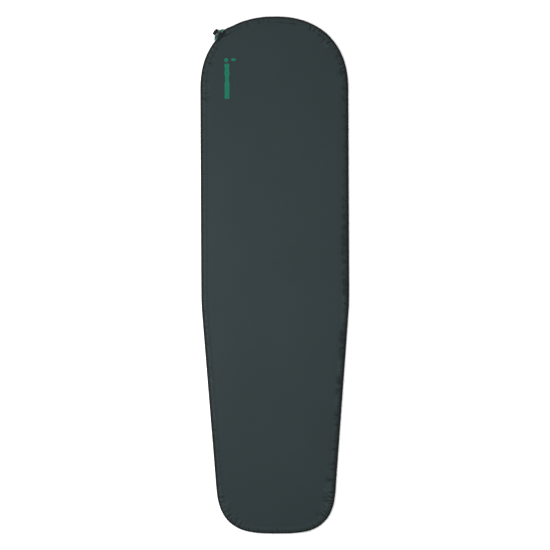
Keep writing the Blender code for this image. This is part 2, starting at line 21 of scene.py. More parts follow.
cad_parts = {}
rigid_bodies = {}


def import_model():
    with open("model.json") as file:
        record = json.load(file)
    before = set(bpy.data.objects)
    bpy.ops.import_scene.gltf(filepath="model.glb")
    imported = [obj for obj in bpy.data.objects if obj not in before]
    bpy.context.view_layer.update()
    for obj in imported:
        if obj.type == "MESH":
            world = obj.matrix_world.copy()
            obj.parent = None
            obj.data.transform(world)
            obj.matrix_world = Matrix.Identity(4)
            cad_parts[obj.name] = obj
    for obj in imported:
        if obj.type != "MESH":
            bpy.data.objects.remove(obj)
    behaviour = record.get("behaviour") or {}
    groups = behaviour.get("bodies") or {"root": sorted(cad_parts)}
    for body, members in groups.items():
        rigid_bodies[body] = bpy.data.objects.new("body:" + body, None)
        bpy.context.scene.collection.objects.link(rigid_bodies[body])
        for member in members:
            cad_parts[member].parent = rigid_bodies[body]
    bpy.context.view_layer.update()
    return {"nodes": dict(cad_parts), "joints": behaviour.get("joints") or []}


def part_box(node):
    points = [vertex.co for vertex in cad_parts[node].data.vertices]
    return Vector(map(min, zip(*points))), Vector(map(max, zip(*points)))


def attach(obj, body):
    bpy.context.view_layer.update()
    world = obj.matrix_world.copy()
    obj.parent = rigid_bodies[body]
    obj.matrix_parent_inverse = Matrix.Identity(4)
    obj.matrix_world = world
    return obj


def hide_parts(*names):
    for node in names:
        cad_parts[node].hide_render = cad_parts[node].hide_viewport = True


MM = 0.001
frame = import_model()
SCENE = bpy.context.scene
for stray in [o for o in bpy.data.objects if o.name in ("Cube", "Light", "Camera")]:
    bpy.data.objects.remove(stray, do_unlink=True)

# ------------------------------------------------------------------ sizes read off the frame
top_lo, top_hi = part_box("top_shell")
HALF_W = (top_hi.x - top_lo.x) / 2 / MM
HALF_L = (top_hi.y - top_lo.y) / 2 / MM
MID_Z = (top_lo.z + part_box("bottom_shell")[1].z) / 2 / MM      # level of the seam
SKIN_H = top_hi.z / MM - MID_Z                                 # flat face above the seam

# valve axes: x along the edge, y up, z outwards
WING = next(j for j in frame["joints"] if j["name"] == "wing_turn")
VALVE_AT = Vector(WING["pos_m"])
VALVE_OUT = Vector(WING["axis"]).normalized()
VALVE_UP = Vector((0, 0, 1))
VALVE_SIDE = VALVE_UP.cross(VALVE_OUT)
VALVE_FRAME = (Matrix.Translation(VALVE_AT)
               @ Matrix((VALVE_SIDE, VALVE_UP, VALVE_OUT)).transposed().to_4x4())
VALVE_XY = np.array([VALVE_AT.x, VALVE_AT.y]) / MM
SIDE_XY = np.array([VALVE_SIDE.x, VALVE_SIDE.y])
OUT_XY = np.array([VALVE_OUT.x, VALVE_OUT.y])


# ------------------------------------------------------------------ curves
def smoothstep(low, high, x):
    share = np.clip((x - low) / (high - low), 0, 1)
    return share * share * (3 - 2 * share)


def bell(offset, width):
    return np.exp(-((offset / width) ** 2))


def softplus(x, softness):
    return (x + np.sqrt(x * x + softness * softness)) / 2


def softmax(first, second, softness):
    return (first + second + np.sqrt((first - second) ** 2 + softness * softness)) / 2


def circular_smooth(values, width):
    """Columns of values round a closed loop, averaged over `width` neighbours each way."""
    kernel = np.hanning(width * 2 + 1)
    kernel /= kernel.sum()
    padded = np.concatenate([values[-width:], values, values[:width]])
    return np.stack([np.convolve(padded[:, i], kernel, "valid")
                     for i in range(values.shape[1])], 1)


# ------------------------------------------------------------------ the edge of the pad
HEAD_DEPTH, HEAD_POWER = 260.0, 2.28        # superellipse ends: length along Y, exponent
FOOT_DEPTH, FOOT_POWER = 176.0, 3.0
TAPER_START_Y, TAPER_SLOPE, TAPER_EASE = -99.0, 0.0775, 16.0
# where the edge stands outside the even curve: (x, y), reach, height; by the valve, foot corner
FULLER = (((-172.0, 868.0), 21.0, 5.0), ((163.0, -876.0), 80.0, 4.0))
FULLER_FADE = 56.0          # distance in over which that fullness dies away
FINE = 4320                 # even samples of the edge
TIGHT_BEND = 0.0042         # curvature, 1/mm, that counts as fully bent


def taper(y):
    """How much each side draws in towards the foot."""
    past = np.minimum(60.0, (TAPER_START_Y - y) / TAPER_EASE)
    return TAPER_SLOPE * TAPER_EASE * np.log1p(np.exp(past))


def edge_loop(samples=1400):
    """The welded edge, anticlockwise from the middle of the head."""
    top, bottom = HALF_L - HEAD_DEPTH, -HALF_L + FOOT_DEPTH
    angle = math.pi / 2 * np.arange(samples) / samples
    head = np.stack([HALF_W * np.sin(angle) ** (2 / HEAD_POWER),
                     top + HEAD_DEPTH * np.cos(angle) ** (2 / HEAD_POWER)], 1)
    y = top + (bottom - top) * np.arange(samples) / samples
    side = np.stack([HALF_W - taper(y), y], 1)
    angle = math.pi / 2 * np.arange(samples + 1) / samples
    y = bottom - FOOT_DEPTH * np.sin(angle) ** (2 / FOOT_POWER)
    across = np.maximum(0.0, np.cos(angle)) ** (2 / FOOT_POWER)
    foot = np.stack([(HALF_W - taper(y)) * across, y], 1)
    right = np.concatenate([head, side, foot])
    return np.concatenate([right * [-1, 1], right[-2:0:-1]])


def fuller(xy):
    """How far the edge stands outside the even curve at points on that curve."""
    return sum(height * np.exp(-((xy - np.array(at)) ** 2).sum(1) / reach ** 2)
               for at, reach, height in FULLER)


loop = edge_loop()
closed = np.concatenate([loop, loop[:1]])
run = np.concatenate([[0.0], np.cumsum(np.linalg.norm(np.diff(closed, axis=0), axis=1))])
PERIMETER = run[-1]
FINE_AT = PERIMETER * np.arange(FINE) / FINE
FINE_XY = np.stack([np.interp(FINE_AT, run, closed[:, i]) for i in (0, 1)], 1)

tangent = np.roll(FINE_XY, -4, 0) - np.roll(FINE_XY, 4, 0)
tangent = circular_smooth(tangent / np.linalg.norm(tangent, axis=1)[:, None], 9)
tangent /= np.linalg.norm(tangent, axis=1)[:, None]
FINE_OUT = np.stack([tangent[:, 1], -tangent[:, 0]], 1)
turning = np.linalg.norm(np.roll(FINE_OUT, -10, 0) - np.roll(FINE_OUT, 10, 0), axis=1)
BEND = circular_smooth((turning / (20 * PERIMETER / FINE))[:, None], 30)[:, 0]


def at_edge(along):
    """(points, outward directions, curvature in 1/mm) of the edge at arc lengths."""
    place = np.mod(along, PERIMETER) / PERIMETER * FINE
    i = np.floor(place).astype(int) % FINE
    share = (place - np.floor(place))[:, None]
    j = (i + 1) % FINE
    out = FINE_OUT[i] * (1 - share) + FINE_OUT[j] * share
    out /= np.linalg.norm(out, axis=1)[:, None]
    bend = BEND[i] * (1 - share[:, 0]) + BEND[j] * share[:, 0]
    return FINE_XY[i] * (1 - share) + FINE_XY[j] * share, out, bend


def inset(xy, out, depth):
    """Points at depths in from the true edge, for points and directions on the even curve."""
    proud = fuller(xy)[:, None] * (1 - smoothstep(0.0, FULLER_FADE, depth))[None, :]
    return xy[:, None, :] + out[:, None, :] * (proud - depth[None, :])[:, :, None]


def gap_along(places, start):
    """Signed arc length from start, the shorter way round."""
    return (places - start + PERIMETER / 2) % PERIMETER - PERIMETER / 2


def nearest_along(xy):
    return FINE_AT[np.argmin(np.linalg.norm(FINE_XY - xy, axis=1))]


VALVE_ALONG = nearest_along(VALVE_XY)


def columns(widest=4.6, bend_cut=2.9, full_bend=0.0035, valve_reach=60, valve_step=1.7):
    """Arc lengths of the mesh columns, closer where the edge curves and round the valve."""
    found, along = [], 0.0
    while along < PERIMETER:
        found.append(along)
        bend = float(at_edge(np.array([along]))[2][0])
        step = widest - bend_cut * min(1.0, bend / full_bend)
        if abs(gap_along(along, VALVE_ALONG)) < valve_reach:
            step = min(step, valve_step)
        along += step
    found = np.array(found)
    return found * PERIMETER / (found[-1] + (found[-1] - found[-2]))


COLS = columns()
EDGE, OUT, CURVE = at_edge(COLS)
COL_COUNT = len(COLS)
VALVE_GAP = np.abs(gap_along(COLS, VALVE_ALONG))

# ------------------------------------------------------------------ section of the rim
# distances of the mesh rings in from the edge
RINGS = np.array([0.0, 0.25, 1.2, 2.6, 4.2, 5.4, 6.0, 6.3, 6.8, 7.6, 8.6, 9.8, 11.2, 12.8,
                  14.6, 16.6, 18.8, 21.2, 23.8, 26.6, 29.8, 33.4, 37.4, 42.0, 47.0, 52.4, 58.0])
RING_COUNT = len(RINGS)
FLANGE = 6.0                # width of the weld
WELD_H = 0.34               # height of the fabric over the seam on the weld
ROLL = 12.5                 # width over which the fabric rises to the top of the rolled rim
# the foam's upper face: distance in, height above the seam
CORE = ((12.0, 5.6), (14.0, 8.8), (18.5, 10.6), (25.0, 11.2))
CLEAR = 0.34                # least height of the fabric over the foam
LOWEST = 0.02               # least height of the lower fabric above the frame's z = 0
CROWN = 1.3                 # extra height of the upper face well inside the edge
INWARD = np.maximum(0.0, RINGS - FLANGE)


def profile(depth, height):
    """Height of the fabric above the seam: weld, rolled rim, shallow valley, flat face."""
    share = np.clip((depth - FLANGE + 0.25) / ROLL, 0, 1)
    rise = np.sqrt(np.maximum(0.0, 1 - (1 - share) ** 2.1))
    roll = 1.15 * bell(depth - 16.0, 5.2) - 0.75 * bell(depth - 27.0, 5.5)
    return WELD_H + (height - WELD_H) * rise + roll * smoothstep(7.0, 13.0, depth)


def over_foam(height, depth):
    """The height, kept above the foam with a soft stop."""
    depths, heights = zip(*CORE)
    foam = np.where(depth < depths[0] - 0.5, -5.0, np.interp(depth, depths, heights)) + CLEAR
    return foam + softplus(height - foam, 0.22)


# ------------------------------------------------------------------ puckers
# where the fabric is gathered most: x, y as shares of half width and half length, reach, strength
GATHERED = ((0.68, 0.905, 62, 1.00), (0.88, 0.79, 56, 0.52), (0.93, 0.69, 48, 0.20),
            (-0.78, 0.845, 55, 0.80), (-0.93, 0.70, 60, 0.35), (0.10, 0.995, 120, 0.10),
            (-0.33, 0.965, 70, 0.25), (-0.60, -0.935, 62, 1.00), (0.69, -0.915, 70, 1.00),
            (0.02, -0.99, 110, 0.08), (-0.72, -0.86, 60, 0.4), (0.80, -0.80, 70, 0.45))
# waves in the rims of the long sides: side (+1 is +X), lowest y, highest y, strength
SIDE_WAVES = ((1, -560, 300, 0.95), (-1, -760, -40, 0.55))
FOLD_RANGE = (-2.6, 1.6)


def gather_at(point):
    return min(1.0, sum(
        strength * math.exp(-((point[0] - x * HALF_W) ** 2 + (point[1] - y * HALF_L) ** 2)
                            / reach ** 2)
        for x, y, reach, strength in GATHERED))


def add_gathers(field, rng, strength):
    """Narrow valleys between soft ridges, running in from the weld."""
    along = 0.0
    while along < PERIMETER:
        point, _, bend = at_edge(np.array([along]))
        hard = min(1.0, float(bend[0]) / TIGHT_BEND)
        here = gather_at(point[0])
        tapering = 0.22 if point[0, 1] < TAPER_START_Y + 40 else 0.0
        slack = max(0.16 * hard, tapering, 0.08, here)
        if slack < 0.45:
            along += rng.uniform(0.6, 1.4) * (9.2 / (0.12 + slack))
        else:
            along += rng.uniform(8.5, 12.5)
        width = rng.uniform(2.0, 3.3) + 1.6 * (1 - here)
        length = rng.uniform(11, 22) + rng.random() ** 1.6 * 26 * slack
        deep = strength * (0.14 + rng.random() ** 1.2 * (0.25 + 1.75 * slack))
        skew = rng.uniform(-0.28, 0.28)
        away = gap_along(COLS, along)
        near = np.abs(away) < 6 * width + 0.35 * length
        offset = away[near][:, None] - skew * INWARD[None, :]
        widths = width * (1 + INWARD / 42)[None, :]
        across = -bell(offset, widths) + 0.55 * bell(np.abs(offset) - 1.8 * widths, widths)
        lengthwise = (1 - smoothstep(0.3 * length, length, INWARD)) * smoothstep(-0.2, 2.6, INWARD)
        field[near] += deep * across * lengthwise[None, :]


def add_side_waves(field, rng, strength):
    """Slow waves in the rolled rim of the long sides."""
    for side, lowest, highest, share in SIDE_WAVES:
        y = highest
        while y > lowest:
            start = nearest_along(np.array([side * (HALF_W - taper(y)), y]))
            width = rng.uniform(6.0, 11.0)
            ends = min(1.0, (y - lowest) / 120, (highest - y) / 120 + 0.2)
            skew = rng.uniform(-0.5, 0.5)
            offset = gap_along(COLS, start)[:, None] - skew * INWARD[None, :]
            band = bell(INWARD - rng.uniform(9, 17), rng.uniform(6, 10))
            size = strength * share * ends * rng.uniform(0.5, 1.0) * rng.choice((-1, -1, 0.8))
            field += size * bell(offset, width) * band[None, :]
            y -= rng.uniform(16, 40)


def pucker_field(seed, strength):
    """Height of the folds in the fabric at every column and ring."""
    rng = random.Random(seed)
    field = np.zeros((COL_COUNT, RING_COUNT))
    add_gathers(field, rng, strength)
    add_side_waves(field, rng, strength)
    return np.clip(field, *FOLD_RANGE)


def ripple_field(seed):
    """Waviness of the welded flange, shared by both fabrics; none beside the valve."""
    rng = random.Random(seed)
    wave = np.zeros(COL_COUNT)
    for _ in range(46):
        turns = rng.randint(18, 260)
        wave += (rng.uniform(0.2, 1.0) / math.sqrt(turns / 18)
                 * np.sin(2 * math.pi * turns * COLS / PERIMETER + rng.uniform(0, 6.28)))
    size = 0.16 + 0.42 * np.clip(CURVE / TIGHT_BEND, 0, 1)
    return wave * size * smoothstep(24, 60, VALVE_GAP)


RIPPLE = ripple_field(11)
GATHER = np.array([gather_at(point) for point in EDGE])


def swell(x, y):
    """Slow unevenness of the foam's face under the fabric."""
    broad = Vector((x / 150, y / 150, 3.7))
    small = Vector((x / 46, y / 46, 9.1))
    return 0.62 * noise.noise(broad) + 0.22 * noise.noise(small)


# ------------------------------------------------------------------ fabric over the valve's base
BOAT_H, BOAT_W = 9.6, 13.0      # bell-shaped half section of the weld base: height, width


def valve_lift(points):
    """Fabric height needed over the weld base, where that applies, and the points' offsets
    from the valve along the edge and outwards."""
    aside = (points - VALVE_XY) @ SIDE_XY
    outward = (points - VALVE_XY) @ OUT_XY
    boat = BOAT_H * bell(aside, BOAT_W)
    slope = 2 * aside / BOAT_W ** 2 * boat
    fade = 1 - smoothstep(24.0, 34.0, np.abs(aside))
    lift = WELD_H + fade * (0.38 + boat * 1.02 + 0.45 * (np.sqrt(1 + slope * slope) - 1))
    return lift, (np.abs(outward) < 60) & (np.abs(aside) < 34), aside, outward


def valve_crease(aside, outward):
    """The fold that runs slantwise across the cushion on the inner side of the valve."""
    start, end = np.array([10.0, -10.0]), np.array([-26.0, -29.0])      # (aside, outward)
    way = end - start
    length = math.hypot(*way)
    share = ((aside - start[0]) * way[0] + (outward - start[1]) * way[1]) / length ** 2
    off = ((aside - start[0]) * way[1] - (outward - start[1]) * way[0]) / length
    ends = smoothstep(-0.12, 0.2, share) * (1 - smoothstep(0.75, 1.15, share))
    return ends * (2.1 * bell(off + 3.4, 3.0) - 2.8 * bell(off - 1.6, 3.0)
                   + 0.8 * bell(off - 7.0, 3.6))


# ------------------------------------------------------------------ outlines and triangles
def hex_points(x_range, y_range, spacing):
    """Points in staggered rows over a rectangle."""
    points, row, y = [], 0, y_range[0]
    while y < y_range[1]:
        x = x_range[0] + (row % 2) * spacing / 2
        while x < x_range[1]:
            points.append((x, y))
            x += spacing
        y += spacing * 0.866
        row += 1
    return np.array(points)


def triangulated(outline, rings, loose, tolerance=1e-4):
    """Delaunay triangles inside an outline, through it, further closed rings and loose points."""
    every = ([Vector(p) for p in outline] + [Vector(p) for ring in rings for p in ring]
             + [Vector(p) for p in loose])
    count = len(outline)
    sides = [(i, (i + 1) % count) for i in range(count)]
    found, _, tris, origin, _, _ = delaunay_2d_cdt(every, sides, [], 1, tolerance)
    assert len(found) == len(every), "points of an outline were merged"
    order = [o[0] for o in origin]
    return np.array([tuple(p) for p in every]), [tuple(order[i] for i in tri) for tri in tris]


def rim_quads(depth, side):
    """Quads between the columns of a band `depth` points deep, wound for that side."""
    quads = []
    for i in range(COL_COUNT):
        here, there = i * depth, (i + 1) % COL_COUNT * depth
        quads += [(here + k, there + k, there + k + 1, here + k + 1) for k in range(depth - 1)]
    return wound(quads, side)


def wound(faces, side):
    return [face[::-1] for face in faces] if side < 0 else faces


# ------------------------------------------------------------------ cloth simulation of the rim
CLOTH = {"quality": 6, "mass": 0.15, "tension_stiffness": 14, "compression_stiffness": 14,
         "shear_stiffness": 4, "bending_stiffness": 0.05, "tension_damping": 8,
         "compression_damping": 8, "use_pressure": True, "uniform_pressure_force": 3.0,
         "shrink_min": -0.035, "shrink_max": -0.035,      # negative: slack cloth
         "vertex_group_mass": "held"}
CLOTH_FRAMES = 20
BAND_START, BAND_END = 6.3, 52.0        # distances in that bound the simulated band


def simulate(band, side):
    """Slack cloth held at both edges and pressed out from inside: moves (mm) and normals."""
    depth = band.shape[1]
    mesh = bpy.data.meshes.new("blown_band")
    mesh.from_pydata([tuple(p) for p in band.reshape(-1, 3) * MM], [], rim_quads(depth, side))
    mesh.update()
    made = bpy.data.objects.new("blown_band", mesh)
    SCENE.collection.objects.link(made)
    held = made.vertex_groups.new(name="held")
    rows = np.arange(COL_COUNT * depth) % depth
    held.add([int(i) for i in np.flatnonzero((rows == 0) | (rows == depth - 1))], 1.0, "REPLACE")
    cloth = made.modifiers.new("cloth", "CLOTH")
    for key, value in CLOTH.items():
        setattr(cloth.settings, key, value)
    cloth.settings.effector_weights.gravity = 0
    cloth.collision_settings.use_collision = False
    cloth.point_cache.frame_start, cloth.point_cache.frame_end = 1, CLOTH_FRAMES
    SCENE.frame_start, SCENE.frame_end = 1, CLOTH_FRAMES
    for number in range(1, CLOTH_FRAMES + 1):
        SCENE.frame_set(number)
    blown = made.evaluated_get(bpy.context.evaluated_depsgraph_get()).to_mesh()
    places = np.empty(len(blown.vertices) * 3, np.float32)
    blown.vertices.foreach_get("co", places)
    move = places.reshape(-1, 3).astype(float) / MM - band.reshape(-1, 3)
    normals = np.empty(len(mesh.vertices) * 3, np.float32)
    mesh.vertices.foreach_get("normal", normals)
    made.modifiers.remove(cloth)
    bpy.data.objects.remove(made, do_unlink=True)
    bpy.data.meshes.remove(mesh)
    SCENE.frame_set(1)
    assert np.isfinite(move).all(), "the cloth simulation broke up"
    return move.reshape(band.shape), normals.reshape(band.shape).astype(float)


def blown_up(verts, side):
    """The points with simulated wrinkles added, and each point's move along the normal."""
    first, last = int(np.argmax(RINGS >= BAND_START)), int(np.argmax(RINGS >= BAND_END))
    band = slice(first, last + 1)
    move, normals = simulate(verts[:, band], side)
    # the even swelling is already in the profile; only the wrinkles are kept
    for axis in range(3):
        move[:, :, axis] -= circular_smooth(move[:, :, axis], 26)
    limit = 2.0
    size = np.linalg.norm(move, axis=2, keepdims=True)
    move *= limit * np.tanh(size / limit) / np.maximum(size, 1e-9)
    depth = RINGS[band]
    share = (0.12 + 1.25 * GATHER ** 1.2) * smoothstep(30, 50, VALVE_GAP)
    fade = smoothstep(BAND_START, 10.0, depth) * (1 - smoothstep(36.0, BAND_END, depth))
    move *= (share[:, None] * fade[None, :])[:, :, None]
    result = verts.copy()
    result[:, band] += move
    height = side * (result[:, :, 2] - MID_Z)
    result[:, first:, 2] = (MID_Z + side * over_foam(height, RINGS[None, :]))[:, first:]
    if side < 0:
        result[:, :, 2] = np.maximum(result[:, :, 2], LOWEST)
    moved = np.zeros(verts.shape[:2])
    moved[:, band] = (move * normals).sum(2)
    return result, moved


# ------------------------------------------------------------------ the two fabrics
FACE_SPACING = 8.5
PUCKERS = {1: (5, 1.55), -1: (23, 1.0)}         # seed and strength for each side


def face_points():
    """Points of the flat face inside the last ring, and their distances from the edge."""
    points = hex_points((-HALF_W, HALF_W), (-HALF_L, HALF_L), FACE_SPACING)
    edge, out = at_edge(FINE_AT)[0][::6], FINE_OUT[::6]
    least = RINGS[-1] + 4.5
    kept, depths = [], []
    for i in range(0, len(points), 400):
        chunk = points[i:i + 400]
        away = chunk[:, None, :] - edge[None, :, :]
        gaps = np.sqrt((away ** 2).sum(2))
        nearest = gaps.argmin(1)
        inside = -(away[np.arange(len(chunk)), nearest] * out[nearest]).sum(1)
        keep = (inside > least) & (gaps.min(1) > least)
        kept.append(chunk[keep])
        depths.append(gaps.min(1)[keep])
    return np.concatenate(kept), np.concatenate(depths)


FACE_XY, FACE_DEPTH = face_points()


def rim_surface(side):
    """Rings of one fabric before the wrinkles: points, fold heights and valve offsets."""
    base = profile(RINGS, SKIN_H)
    run_in, rise = np.gradient(RINGS), np.gradient(base)
    length = np.hypot(run_in, rise)
    # outward and upward parts of the surface normal
    normal_out, normal_up = -(-rise / length), run_in / length
    fold = pucker_field(*PUCKERS[side]) * smoothstep(5.8, 8.0, RINGS)[None, :]
    xy = inset(EDGE, OUT, RINGS)
    xy = xy + OUT[:, None, :] * (fold * normal_out[None, :])[:, :, None]
    height = np.repeat(base[None, :], COL_COUNT, 0) + fold * normal_up[None, :]
    if side > 0:
        swells = np.array([[swell(*point) for point in row] for row in xy])
        height = height + (smoothstep(16, 44, RINGS) * swells
                           + CROWN * smoothstep(24, 120, RINGS))
    else:
        height = np.minimum(height, MID_Z - LOWEST)
    lift, near, aside, outward = (part.reshape(COL_COUNT, -1)
                                  for part in valve_lift(xy.reshape(-1, 2)))
    if side > 0:
        crease = valve_crease(aside, outward)
        height = height + crease
        fold = fold + crease
    height = over_foam(height, RINGS[None, :])
    height = np.where(near, softmax(height, lift, 0.9), height)
    flange = 1 - smoothstep(4.6, 7.4, RINGS)
    z = MID_Z + side * height + RIPPLE[:, None] * flange[None, :]
    # the two edges are held apart by the weld base
    apart = 1 - smoothstep(24.0, 31.0, np.abs(aside[:, 0]))
    apart = np.where(np.abs(outward[:, 0]) < 20, apart, 0.0)
    z[:, 0] = MID_Z + side * (0.04 + apart * (height[:, 0] - 0.04)) + RIPPLE
    return np.concatenate([xy, z[:, :, None]], 2), fold, aside, outward


def valley_shade(xy):
    """Painted shade in the valley inside the rolled rim, most of all at the head."""
    wander = np.array([noise.noise(Vector((along / 95, 0.3, 5.1))) for along in COLS])[:, None]
    x, y = xy[:, :1, 0], xy[:, :1, 1]
    deep = (1.25 * smoothstep(560, 800, y)
            + 0.45 * smoothstep(-500, -300, y) * smoothstep(0, 150, x))
    return deep * (0.75 + 0.6 * wander) * bell(RINGS[None, :] - 21.5 - 3.0 * wander, 3.4)


def long_side(xy, side, head_end):
    """1 along one long side, fading at the head and the foot."""
    x, y = xy[:, :1, 0], xy[:, :1, 1]
    return (smoothstep(150, 230, side * x) * smoothstep(-860, -700, y)
            * (1 - smoothstep(700, head_end, y)))


def face_heights(side):
    if side < 0:
        return np.full(len(FACE_XY), min(SKIN_H, MID_Z - LOWEST))
    swells = np.array([swell(*point) for point in FACE_XY])
    return SKIN_H + (CROWN * smoothstep(24, 120, FACE_DEPTH) + swells)


def make_fabric(name, side, skin, replaced):
    """One fabric: rings in from the welded edge, then a triangulated flat face inside them."""
    verts, fold, aside, outward = rim_surface(side)
    xy = verts[:, :, :2]
    verts, moved = blown_up(verts, side)
    # fold heights, turned into painted shade and highlight in the fabric's colour
    fold = fold + moved
    # painted shade in the valley inside the rolled rim
    fold = fold - valley_shade(xy)
    beside = (1 - smoothstep(19.0, 33.0, np.abs(aside[:, :1]))) * (np.abs(outward[:, :1]) < 40)
    right, left = long_side(xy, 1, 860), long_side(xy, -1, 820)
    # painted shade along the rim of the right side, away from the key lamp on the left
    fold = fold - 0.75 * right * bell(RINGS[None, :] - 18.0, 9.5)
    # painted shade: the dark weld band is drawn wider beside the valve and on the long sides
    weld = RINGS[None, :] * (1 - 0.42 * beside - 0.14 * right - 0.16 * left)

    _, tris = triangulated(verts[:, -1, :2], [], FACE_XY, tolerance=0.001)
    rim_count = COL_COUNT * RING_COUNT

    def vertex(i):
        if i < COL_COUNT:
            return i * RING_COUNT + RING_COUNT - 1
        return rim_count + (i - COL_COUNT)

    inner = [tuple(vertex(i) for i in tri) for tri in tris]
    faces = rim_quads(RING_COUNT, side) + wound(inner, side)
    face_z = MID_Z + side * face_heights(side)
    points = np.concatenate([verts.reshape(-1, 3),
                             np.concatenate([FACE_XY, face_z[:, None]], 1)])
    mesh = bpy.data.meshes.new(name)
    mesh.from_pydata([tuple(p * MM) for p in points], [], faces)
    mesh.update()
    blank = np.zeros(len(FACE_XY))
    # values on the rim, then on the flat face
    attributes = {"edge_mm": (np.tile(RINGS, COL_COUNT), FACE_DEPTH),
                  "along_mm": (np.repeat(COLS, RING_COUNT), blank),
                  "weld_and_shade_mm": (weld.ravel(), blank + 99),
                  "fold_shade_mm": (fold.ravel(), blank)}
    for key, parts in attributes.items():
        layer = mesh.attributes.new(key, "FLOAT", "POINT")
        layer.data.foreach_set("value", np.concatenate(parts).astype(np.float32))
    mesh.shade_smooth()
    made = bpy.data.objects.new(name, mesh)
    SCENE.collection.objects.link(made)
    wall = made.modifiers.new("cloth_thickness", "SOLIDIFY")
    wall.thickness = 0.22 * MM
    wall.offset = -1.0
    mesh.materials.append(skin)
    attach(made, "pad")
    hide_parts(replaced)
    return made


# ------------------------------------------------------------------ material nodes
class Graph:
    """A material built from nodes; inputs take numbers, colours or node outputs."""

    def __init__(self, name):
        self.material = bpy.data.materials.new(name)
        self.material.use_nodes = True
        self.tree = self.material.node_tree
        self.tree.nodes.clear()
        output = self.add("OutputMaterial")
        self.shader = self.add("BsdfPrincipled")
        self.feed(output.inputs["Surface"], self.shader.outputs["BSDF"])

    @cached_property
    def place(self):
        return self.add("TexCoord").outputs["Object"]

    def add(self, kind):
        return self.tree.nodes.new("ShaderNode" + kind)

    def feed(self, socket, value):
        if isinstance(value, bpy.types.NodeSocket):
            self.tree.links.new(value, socket)
        else:
            socket.default_value = (*value, 1.0) if isinstance(value, tuple) else value

    def finish(self, inputs):
        """Feeds the shader and hands back the material."""
        for key, value in inputs.items():
            self.feed(self.shader.inputs[key], value)
        return self.material

    def split(self, vector):
        node = self.add("SeparateXYZ")
        self.feed(node.inputs["Vector"], vector)
        return tuple(node.outputs)

    def attribute(self, name):
        node = self.add("Attribute")
        node.attribute_name = name
        return node.outputs["Fac"]

    def noise(self, scale, detail=3.0, rough=0.5, vector=None):
        node = self.add("TexNoise")
        node.inputs["Scale"].default_value = scale
        node.inputs["Detail"].default_value = detail
        node.inputs["Roughness"].default_value = rough
        self.feed(node.inputs["Vector"], vector or self.place)
        return node.outputs["Fac"]

    def math(self, operation, *values):
        node = self.add("Math")
        node.operation = operation
        for i, value in enumerate(values):
            self.feed(node.inputs[i], value)
        return node.outputs[0]

    def plus(self, first, second):
        return self.math("ADD", first, second)

    def minus(self, first, second):
        return self.math("SUBTRACT", first, second)

    def times(self, first, second):
        return self.math("MULTIPLY", first, second)

    def centred(self, value, spread):
        """A 0..1 value turned into one about zero, `spread` wide."""
        return self.times(self.minus(value, 0.5), spread)

    def ramp(self, value, low, high):
        node = self.add("MapRange")
        node.interpolation_type = "SMOOTHSTEP"
        node.inputs["From Min"].default_value = low
        node.inputs["From Max"].default_value = high
        self.feed(node.inputs["Value"], value)
        return node.outputs["Result"]

    def mix(self, factor, first, second):
        node = self.add("Mix")
        node.data_type = "RGBA"
        for key, value in (("Factor", factor), (6, first), (7, second)):
            self.feed(node.inputs[key], value)
        return node.outputs[2]

    def layer(self, base, mask, share, colour):
        """A colour laid over the base where the mask is up, at most by `share`."""
        return self.mix(self.times(mask, share), base, colour)

    def weave(self, first, second, pitch):
        """Chequered -1..1 waves over two coordinates; pitch in millimetres."""
        rate = 2 * math.pi / (pitch * MM)
        waves = [self.math("SINE", self.times(value, rate)) for value in (first, second)]
        return self.times(*waves)

    def yarns(self, weave):
        """The weave brought to 0..1."""
        return self.plus(self.times(weave, 0.5), 0.5)

    def bump(self, height, strength, distance, below=None):
        node = self.add("Bump")
        node.inputs["Strength"].default_value = strength
        node.inputs["Distance"].default_value = distance
        self.feed(node.inputs["Height"], height)
        if below:
            self.feed(node.inputs["Normal"], below)
        return node.outputs["Normal"]


def srgb(*levels):
    """Linear colour of 8-bit sRGB values."""
    shares = [level / 255 for level in levels]
    return tuple(c / 12.92 if c <= 0.04045 else ((c + 0.055) / 1.055) ** 2.4 for c in shares)


def scaled(colour, by):
    return tuple(min(1.0, c * by) for c in colour)


# ------------------------------------------------------------------ materials
CLOTH_PITCH = 0.55          # weave of the upper fabric


